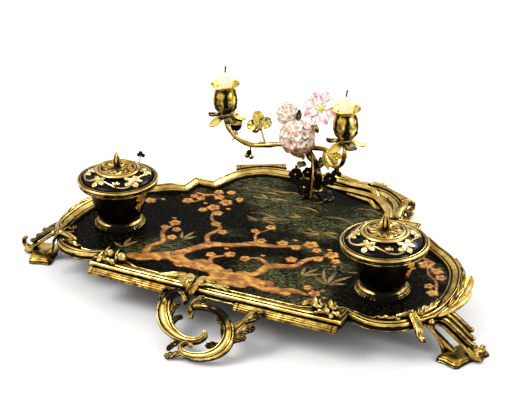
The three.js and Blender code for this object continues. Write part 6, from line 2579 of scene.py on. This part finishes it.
@dataclass
class LeafClasps:
    """Acanthus leaves that clasp the rim at its corners, its middle and over the feet."""

    rim: Rim
    sharp: float = 50.0
    wrap: tuple = (
        (-0.7, 0.02, -0.5), (-0.5, -0.02, -0.3), (-0.3, 0.02, -0.05), (-0.12, -0.035, 0.35), (0, 0.0, 0.7),
        (0.12, 0.1, 0.95), (0.22, 0.2, 0.98), (0.36, 0.36, 0.8), (0.5, 0.5, 0.64), (0.68, 0.68, 0.54),
        (0.84, 0.86, 0.6), (0.95, 0.96, 0.36), (1.1, 1.02, 0.05), (2.1, 2.02, 0.1),
    )
    blades: tuple = (
        (((1.0, 0.3, 0.6), (0.88, 0.1, 2.6), (0.76, 0.0, 3.4), (0.66, 0.0, 3.6), (0.56, 0.05, 3.0)),
         3.2, 1, 0.0),
        (((0.98, 0.75, 0.8), (0.84, 0.62, 3.0), (0.7, 0.6, 4.0), (0.56, 0.75, 4.6), (0.46, 1.05, 4.8),
          (0.38, 1.3, 4.0)), 3.6, 1, 0.0),
        (((0.96, 1.05, 0.8), (0.8, 1.0, 2.8), (0.64, 1.15, 4.2), (0.5, 1.45, 5.4), (0.36, 1.6, 5.8),
          (0.22, 1.35, 5.4), (0.1, 0.9, 4.2)), 4.6, 1, 0.0),
        (((0.7, 1.5, 1.0), (0.6, 1.8, 2.4), (0.5, 2.1, 3.0), (0.4, 2.2, 3.2), (0.3, 2.1, 2.4)), 2.8, 1, 0.1),
        (((0.52, -0.1, 2.4), (0.42, 0.0, 3.4), (0.3, 0.1, 3.2), (0.16, 0.25, 2.6), (0.02, 0.3, 1.4)),
         3.4, 2, 0.3),
        (((0.44, 0.6, 2.0), (0.32, 0.6, 3.0), (0.18, 0.6, 2.6), (0.06, 0.7, 1.6)), 2.8, 2, 0.2),
        (((0.98, 0.1, 0.6), (1.0, 0.0, 3.6), (1.0, 0.3, 5.0), (0.98, 0.6, 4.4)), 2.8, 1, 0.0),
    )

    def on_rim(self, rows: np.ndarray, t: np.ndarray, u: np.ndarray, lift: np.ndarray) -> np.ndarray:
        """Places on the rim's face.

        Args:
            rows: The rim's stations: outer x and y, inner x and y.
            t: Share of the way along them.
            u: Share of the way over the face, under 0 on its outer side and 1 at its inner edge.
            lift: Distance off the face, in metres.

        Returns:
            The places.
        """
        t, u, lift = np.broadcast_arrays(t, u, lift)
        where = np.clip(t, 0, 1) * (len(rows) - 1)
        low = np.minimum(where.astype(int), len(rows) - 2)
        row = rows[low] + (rows[low + 1] - rows[low]) * (where - low)[..., None]
        across = row[..., 2:] - row[..., :2]
        band = np.linalg.norm(across, axis=-1)
        table = np.array(self.wrap)
        plan, rise = (np.interp(u, table[:, 0], table[:, k]) for k in (1, 2))
        step = 0.04
        d_plan = (np.interp(u + step, table[:, 0], table[:, 1])
                  - np.interp(u - step, table[:, 0], table[:, 1])) * band
        d_rise = (np.interp(u + step, table[:, 0], table[:, 2])
                  - np.interp(u - step, table[:, 0], table[:, 2])) * (self.rim.top - self.rim.tray_top)
        size = np.maximum(np.hypot(d_plan, d_rise), 1e-9)
        inward = plan * band - lift * d_rise / size
        height = self.rim.height(rise) + lift * d_plan / size
        flat = row[..., :2] + across / band[..., None] * inward[..., None]
        return np.concatenate([flat, height[..., None]], -1)

    def spot(self, rows: np.ndarray, t: float, u: float, lift: float) -> np.ndarray:
        """One place on the rim's face, with its lift in millimetres."""
        return self.on_rim(rows, np.array(t), np.array(u), np.array(lift * MM))

    def bead(self, rows: np.ndarray, row: Sequence[float], radius: float, sides: int = 14,
             groove: float = 0.3) -> Shell:
        """A round boss on the rim, at a share along, a share across and a lift in millimetres."""
        return ball(radius * MM, self.spot(rows, *row), sides, groove=groove)

    def over(self, rows: np.ndarray, spots: Sequence, half: float, lobes: int, **shape) -> Shell:
        """A leaf over the rim.

        Args:
            rows: The rim's stations.
            spots: Where it runs: share along, share across, lift in millimetres.
            half: Half width in millimetres.
            lobes: Lobes along each edge.
            **shape: The leaf's other fields.

        Returns:
            The shell.
        """
        route = [self.spot(rows, *row) for row in spots]
        fields = {"notch": 0.34, "thickness": 1.3 * MM, "cup": 0.15, **shape}
        return Leaf(route, half * MM, lobes, **fields).shell(44, 13)

    def outward(self, rows: np.ndarray, t: float) -> np.ndarray:
        """The level way out of the tray at a station."""
        row = rows[round(t * (len(rows) - 1))]
        return np.array([*unit(row[:2] - row[2:]), 0.0])

    def pendant(self, rows: np.ndarray, spots: Sequence, fall: Sequence, half: float, lobes: int) -> Shell:
        """A leaf that crosses the rim and hangs below it, its tip curled out.

        Args:
            rows: The rim's stations.
            spots: Where it crosses: share along, share across, lift in millimetres.
            fall: Millimetres out, down and along of the hanging points.
            half: Half width in millimetres.
            lobes: Lobes along each edge.

        Returns:
            The shell.
        """
        route = [self.spot(rows, *row) for row in spots]
        out = self.outward(rows, spots[-1][0])
        along = np.cross(UP, out)
        last = route[-1]
        route += [last + (out * a - UP * b + along * c) * MM for a, b, c in fall]
        way = tuple(unit(out * 0.7 + UP))
        return Leaf(route, half * MM, lobes, 0.34, 1.4 * MM, 0.1, reference=way).shell(56, 13)

    def outer_leaf(self, rows: np.ndarray, start: float, end: float, reach: float, rise: float, half: float,
                   lobes: int = 3) -> Shell:
        """A leaf that lies against the rim's outer side and turns its tip away from it.

        Args:
            rows: The rim's stations.
            start: Share along of its root.
            end: Share along of its tip.
            reach: Millimetres that the tip stands off.
            rise: Millimetres that it climbs.
            half: Half width in millimetres.
            lobes: Lobes along each edge.

        Returns:
            The shell.
        """
        route = []
        for t in np.linspace(0, 1, 6):
            at = start + (end - start) * t
            foot = self.spot(rows, at, -0.1, 0.5)
            route.append(foot + self.outward(rows, at) * reach * t**1.3 * MM + UP * rise * (t - 0.4) * MM)
        way = tuple(unit(self.outward(rows, (start + end) / 2) * 0.5 + UP))
        return Leaf(route, half * MM, lobes, 0.12, 1.4 * MM, -0.15, rake=0.3, reference=way, blunt=0.8,
                    veins=0.25).shell(48, 15)

    def cupped(self, rows: np.ndarray, t: float, half: float, tall: float) -> list[Shell]:
        """An upright bud on the rim: two petals that close over a dark heart.

        Args:
            rows: The rim's stations.
            t: Share along.
            half: Half width in millimetres.
            tall: Height in millimetres.

        Returns:
            Its shells.
        """
        seat = self.spot(rows, t, 0.55, 0.5)
        out = self.outward(rows, t)
        along = np.cross(UP, out)
        shells = [ball(0.6 * half * MM, seat + UP * 0.5 * tall * MM, 14, (0.8, 0.8, tall / half * 0.7), 0.9)]
        for way, size in ((-1, 1.0), (1, 0.86)):
            rows_mm = ((0.1, 0.0), (0.75, 0.3), (0.85, 0.65), (0.5, 0.95), (0.1, 1.05))
            route = [seat + (along * way * a * half * 0.75 + out * 0.25 * half + UP * b * tall * size) * MM
                     for a, b in rows_mm]
            way_out = tuple(unit(along * way + out * 0.7))
            petal = Leaf(route, size * half * MM, 1, 0.04, 1.0 * MM, -0.55, 0.0, way_out, 0.45,
                         0.1).shell(26, 13)
            shells.append(petal)
        return shells

    def centre(self, rows: np.ndarray) -> list[Shell]:
        """The scroll that rolls over the rim, and the leaf that springs across it beside the scroll.

        Args:
            rows: The rim's stations.

        Returns:
            Its shells.
        """

        def spots(*places: Sequence[float]) -> list[tuple[float, float, float]]:
            """Spots from places whose first value is in millimetres from the middle."""
            return [((x + 86) / 172, u, lift) for x, u, lift in places]

        roll = spots((-58, 0.45, 0.6), (-48, 0.5, 1.2), (-38, 0.55, 2.2), (-30, 0.52, 3.6), (-24, 0.36, 4.2),
                     (-21, 0.1, 3.6))
        back = spots((-44, 0.85, 0.6), (-34, 0.95, 2.2), (-26, 0.9, 4.4), (-20, 0.7, 5.2), (-17, 0.4, 4.6))
        leap = spots((5, 1.12, 1.2), (0, 0.95, 3.0), (-6, 0.66, 4.2), (-11, 0.3, 4.4), (-15, -0.05, 3.6))
        high = spots((-8, 0.4, 2.4), (0, 0.6, 3.6), (8, 0.84, 3.2), (15, 1.02, 1.6))
        low = spots((-10, 0.15, 2.2), (0, 0.22, 3.4), (11, 0.3, 2.6), (20, 0.36, 0.8))
        return [
            self.pendant(rows, roll, ((1.5, 3, 0), (1.2, 7, -1.5), (-0.5, 9.5, -4)), 5.6, 3),
            self.over(rows, back, 2.6, 3),
            self.pendant(rows, leap, ((1.5, 4, -2), (2.0, 9, -3.5), (1.0, 13, -4)), 4.2, 5),
            self.over(rows, high, 2.4, 3),
            self.over(rows, low, 2.8, 3),
            self.bead(rows, spots((-19, 0.2, 2.4))[0], 2.4),
        ]

    def corner(self, rows: np.ndarray, bold: bool) -> list[Shell]:
        """Two cupped petals with a gap between them, and small leaves on the rim's outer face.

        Args:
            rows: The rim's stations.
            bold: Whether a large leaf rises over it.

        Returns:
            Its shells.
        """
        shells = self.cupped(rows, 0.48, 6.2, 9.6) + self.cupped(rows, 0.9, 5.4, 8.6)
        if bold:
            shells.append(self.over(rows, ((0.78, 0.45, 1.5), (0.6, 0.75, 4.5), (0.4, 1.0, 6.5),
                                           (0.2, 1.15, 6.0), (0.02, 1.2, 3.6)), 5.2, 3, cup=-0.3))
        for start, end, height in ((0.75, 0.3, 0.2), (0.78, 1.0, 0.25)):
            shells.append(self.over(rows, ((start, height, 1.2), ((start + end) / 2, height, 2.2),
                                           (end, height - 0.1, 0.8)), 2.8, 3))
        shells.append(self.bead(rows, (0.76, 0.1, 1.6), 2.2, groove=0.2))
        return shells

    def foot(self, rows: np.ndarray) -> list[Shell]:
        """The leaf that crosses the rim and hangs under it, and the fronds over the foot's root.

        Args:
            rows: The rim's stations.

        Returns:
            Its shells.
        """
        shells = [
            self.pendant(rows, ((0.31, 1.3, 1.0), (0.32, 1.0, 2.6), (0.33, 0.6, 3.4), (0.335, 0.2, 3.4),
                                (0.34, -0.15, 2.6)),
                         ((1.5, 4, 0.5), (2.5, 9, 1.5), (4.5, 12, 3), (7, 12.5, 4)), 4.6, 4),
            self.over(rows, ((0.37, 0.35, 1.6), (0.41, 0.7, 3.4), (0.45, 1.0, 3.4),
                             (0.49, 1.3, 1.8)), 3.0, 3),
            self.over(rows, ((0.36, 0.6, 1.6), (0.385, 0.9, 3.4), (0.4, 1.2, 3.6), (0.42, 1.5, 2.2)), 2.8, 3),
            self.over(rows, ((0.37, 0.2, 1.4), (0.42, 0.4, 3.0), (0.47, 0.6, 2.8), (0.53, 0.8, 0.8)), 3.2, 4),
            self.over(rows, ((0.3, 0.55, 1.2), (0.26, 0.7, 2.6), (0.22, 0.8, 2.2),
                             (0.18, 0.85, 0.6)), 2.6, 3),
        ]
        for *row, radius in ((0.4, -0.2, 2.0, 3.0), (0.37, 0.3, 2.0, 2.2), (0.28, 0.3, 1.2, 1.6)):
            shells.append(self.bead(rows, row, radius))
        return shells

    def end(self, rows: np.ndarray) -> list[Shell]:
        """The pointed leaves on the rim's outer side.

        Args:
            rows: The rim's stations.

        Returns:
            Its shells.
        """
        return [
            self.outer_leaf(rows, 0.46, 0.67, 6.5, 3.0, 4.6, 1),
            self.outer_leaf(rows, 0.44, 0.61, 7.0, -1.5, 4.4, 1),
            self.outer_leaf(rows, 0.6, 0.78, 1.6, 1.0, 2.0, 2),
            self.over(rows, ((0.5, 0.0, 0.8), (0.57, 0.06, 1.4), (0.64, 0.04, 1.4),
                             (0.72, 0.0, 0.4)), 2.2, 4),
        ]

    def back_fronds(self, rows: np.ndarray) -> list[Shell]:
        """The long acanthus blades that sweep over the arch's right shoulder, and the knob among them.

        Args:
            rows: The rim's stations.

        Returns:
            Its shells.
        """
        shells = []
        for spots, half, lobes, dark in self.blades:
            shells.append(self.over(rows, spots, half, lobes, rake=0.3, notch=0.08, veins=0.2,
                                    cup=-0.3).shaded(dark))
        for *row, radius, dark in ((0.55, -0.05, 5.4, 4.6, 0.22), (0.47, -0.3, 3.6, 3.2, 0.8),
                                   (0.15, -0.1, 1.6, 2.0, 0.2)):
            shells.append(self.bead(rows, row, radius, 16, dark))
        return shells

    def build(self, gilt: Material) -> None:
        """Makes the seven clasps and the fronds on the arch.

        Args:
            gilt: The clasps' finish.
        """
        outline = self.rim.outline
        piece("acanthus_fronds_right", self.back_fronds(outline.run(Part.ARCH, 1)), gilt, sharp=self.sharp)
        half = outline.placed(outline.front_rows[:2])
        front = np.vstack([(half * (-1, 1, -1, 1))[::-1], half[1:]])
        piece("leaf_clasp_centre", self.centre(front), gilt, ["clasp_center"], sharp=self.sharp)
        corner = np.linspace(*outline.placed(outline.front_rows[1:3]), 9)
        lobe = outline.run(Part.LOBE, 1)[len(outline.return_rows) - 1 :]
        for side, sign in SIDES.items():
            flip = np.array([sign, 1, sign, 1])
            jobs = {
                "corner": self.corner(corner * flip, sign > 0),
                "foot": self.foot(lobe * flip),
                "end": self.end(lobe * flip),
            }
            for name, shells in jobs.items():
                piece(f"leaf_clasp_{name}_{side}", shells, gilt, [f"clasp_{name}_{side}"], sharp=self.sharp)


# The whole

# Places on the tray where the clouds fade out to black: x, y, z, the distances where the clouds begin
# and are full, and their least share.
BLACK_PLACES = (
    # The first two, beside the pots, widen the painted shadow and reflection of the pots.
    (-0.15, -0.055, 0.04, 0.03, 0.062, 0.0), (0.135, -0.085, 0.04, 0.02, 0.055, 0.0),
    (-0.095, 0.036, 0.04, 0.012, 0.05, 0.35), (0.032, 0.074, 0.04, 0.006, 0.036, 0.3),
)


def keep(nodes: Sequence[str], material: Material) -> None:
    """Gives CAD nodes that stay as they are a finish.

    Args:
        nodes: Their names.
        material: The finish.
    """
    for name in nodes:
        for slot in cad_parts[name].material_slots:
            slot.material = material
        log.info("%s: kept", name)


def main() -> None:
    """Builds the studio and every piece."""
    outline = Outline()
    Studio().build(outline.front)
    gilt, black, gold = GiltBronze().build(), PotLacquer().build(), GoldLacquer().build()
    wax, cotton = Wax().build(), CharredCotton().build()
    keep(["stem_nut"], gilt)
    # Painted shadow and reflection of the pots: the clouds fade out to black round each pot's foot.
    stands = tuple((*centre_of(f"pot_foot_{side}"), 0.034, 0.056, 0.0) for side in SIDES)
    keep(["tray_panel"], TrayLacquer(clear=(*stands, *BLACK_PLACES)).build())
    keep(["pot_liner_left", "pot_liner_right"], InkGlass().build())
    red = GoldLacquer("red_gold_lacquer", "#E8B04A", "#C08430", "#743010").build()
    olive = GoldLacquer("olive_gold_lacquer", "#A98F45", "#76652F", "#5A2C12").build()
    GoldPainting(outline).build(gold, red, olive)
    rim = Rim(outline)
    # The right lobe takes a darker copy of the gilt with stronger painted shade.
    rim.build(gilt, GiltBronze("shaded_rim_bronze", "#E8C668", "#A87F34", side_shade_pull=1.0,
                               crevice_shade_pull=2.2).build())
    LeafClasps(rim).build(gilt)
    ScrollFoot(outline).build(gilt)
    # A darker copy of the gilt with heavier painted shade, for the side and back feet.
    shade_darkened = GiltBronze("shade_darkened_gilt_bronze", "#DEBA5C", "#98702C", side_shade_pull=1.15, crevice_shade_pull=2.4).build()
    SideFoot().build(outline, shade_darkened)
    # A darker copy of the gilt for the bars, with less shade painted on faces that look down.
    ReedBars(outline).build(GiltBronze("darker_gilt_bronze", "#D8B25A", "#9C742E", side_shade_pull=0.35).build())
    beads = bead_ring("gadroon_ring", gilt)
    # A paler copy of the gilt for the lids' garlands: burnished, and paler still as a painted highlight, with
    # less painted shade.
    pale = GiltBronze("burnished_gilt_pale_as_highlight", "#FFEDB4", "#E0BC6C", side_shade_pull=0.3, crevice_shade_pull=1.0).build()
    InkPot(Side.LEFT, beads, sprig=True).build(gilt, pale, black, red)
    InkPot(Side.RIGHT, beads).build(gilt, pale, black, red)
    # A lighter copy of the gilt with less painted shade, painted as if more brightly lit, for the cups, pans,
    # calyxes and branch leaves.
    bright = GiltBronze("lit_bright_yellow_gilt", "#FFE27C", "#E6BE4C", side_shade_pull=0.3, crevice_shade_pull=0.7).build()
    branch = CandleBranch(outline)
    branch.build(gilt, bright)
    Blooms(branch).build(gilt)
    for side in SIDES:
        CandleCup(side, beads).build(bright, wax, cotton)


if __name__ == "__main__":
    main()
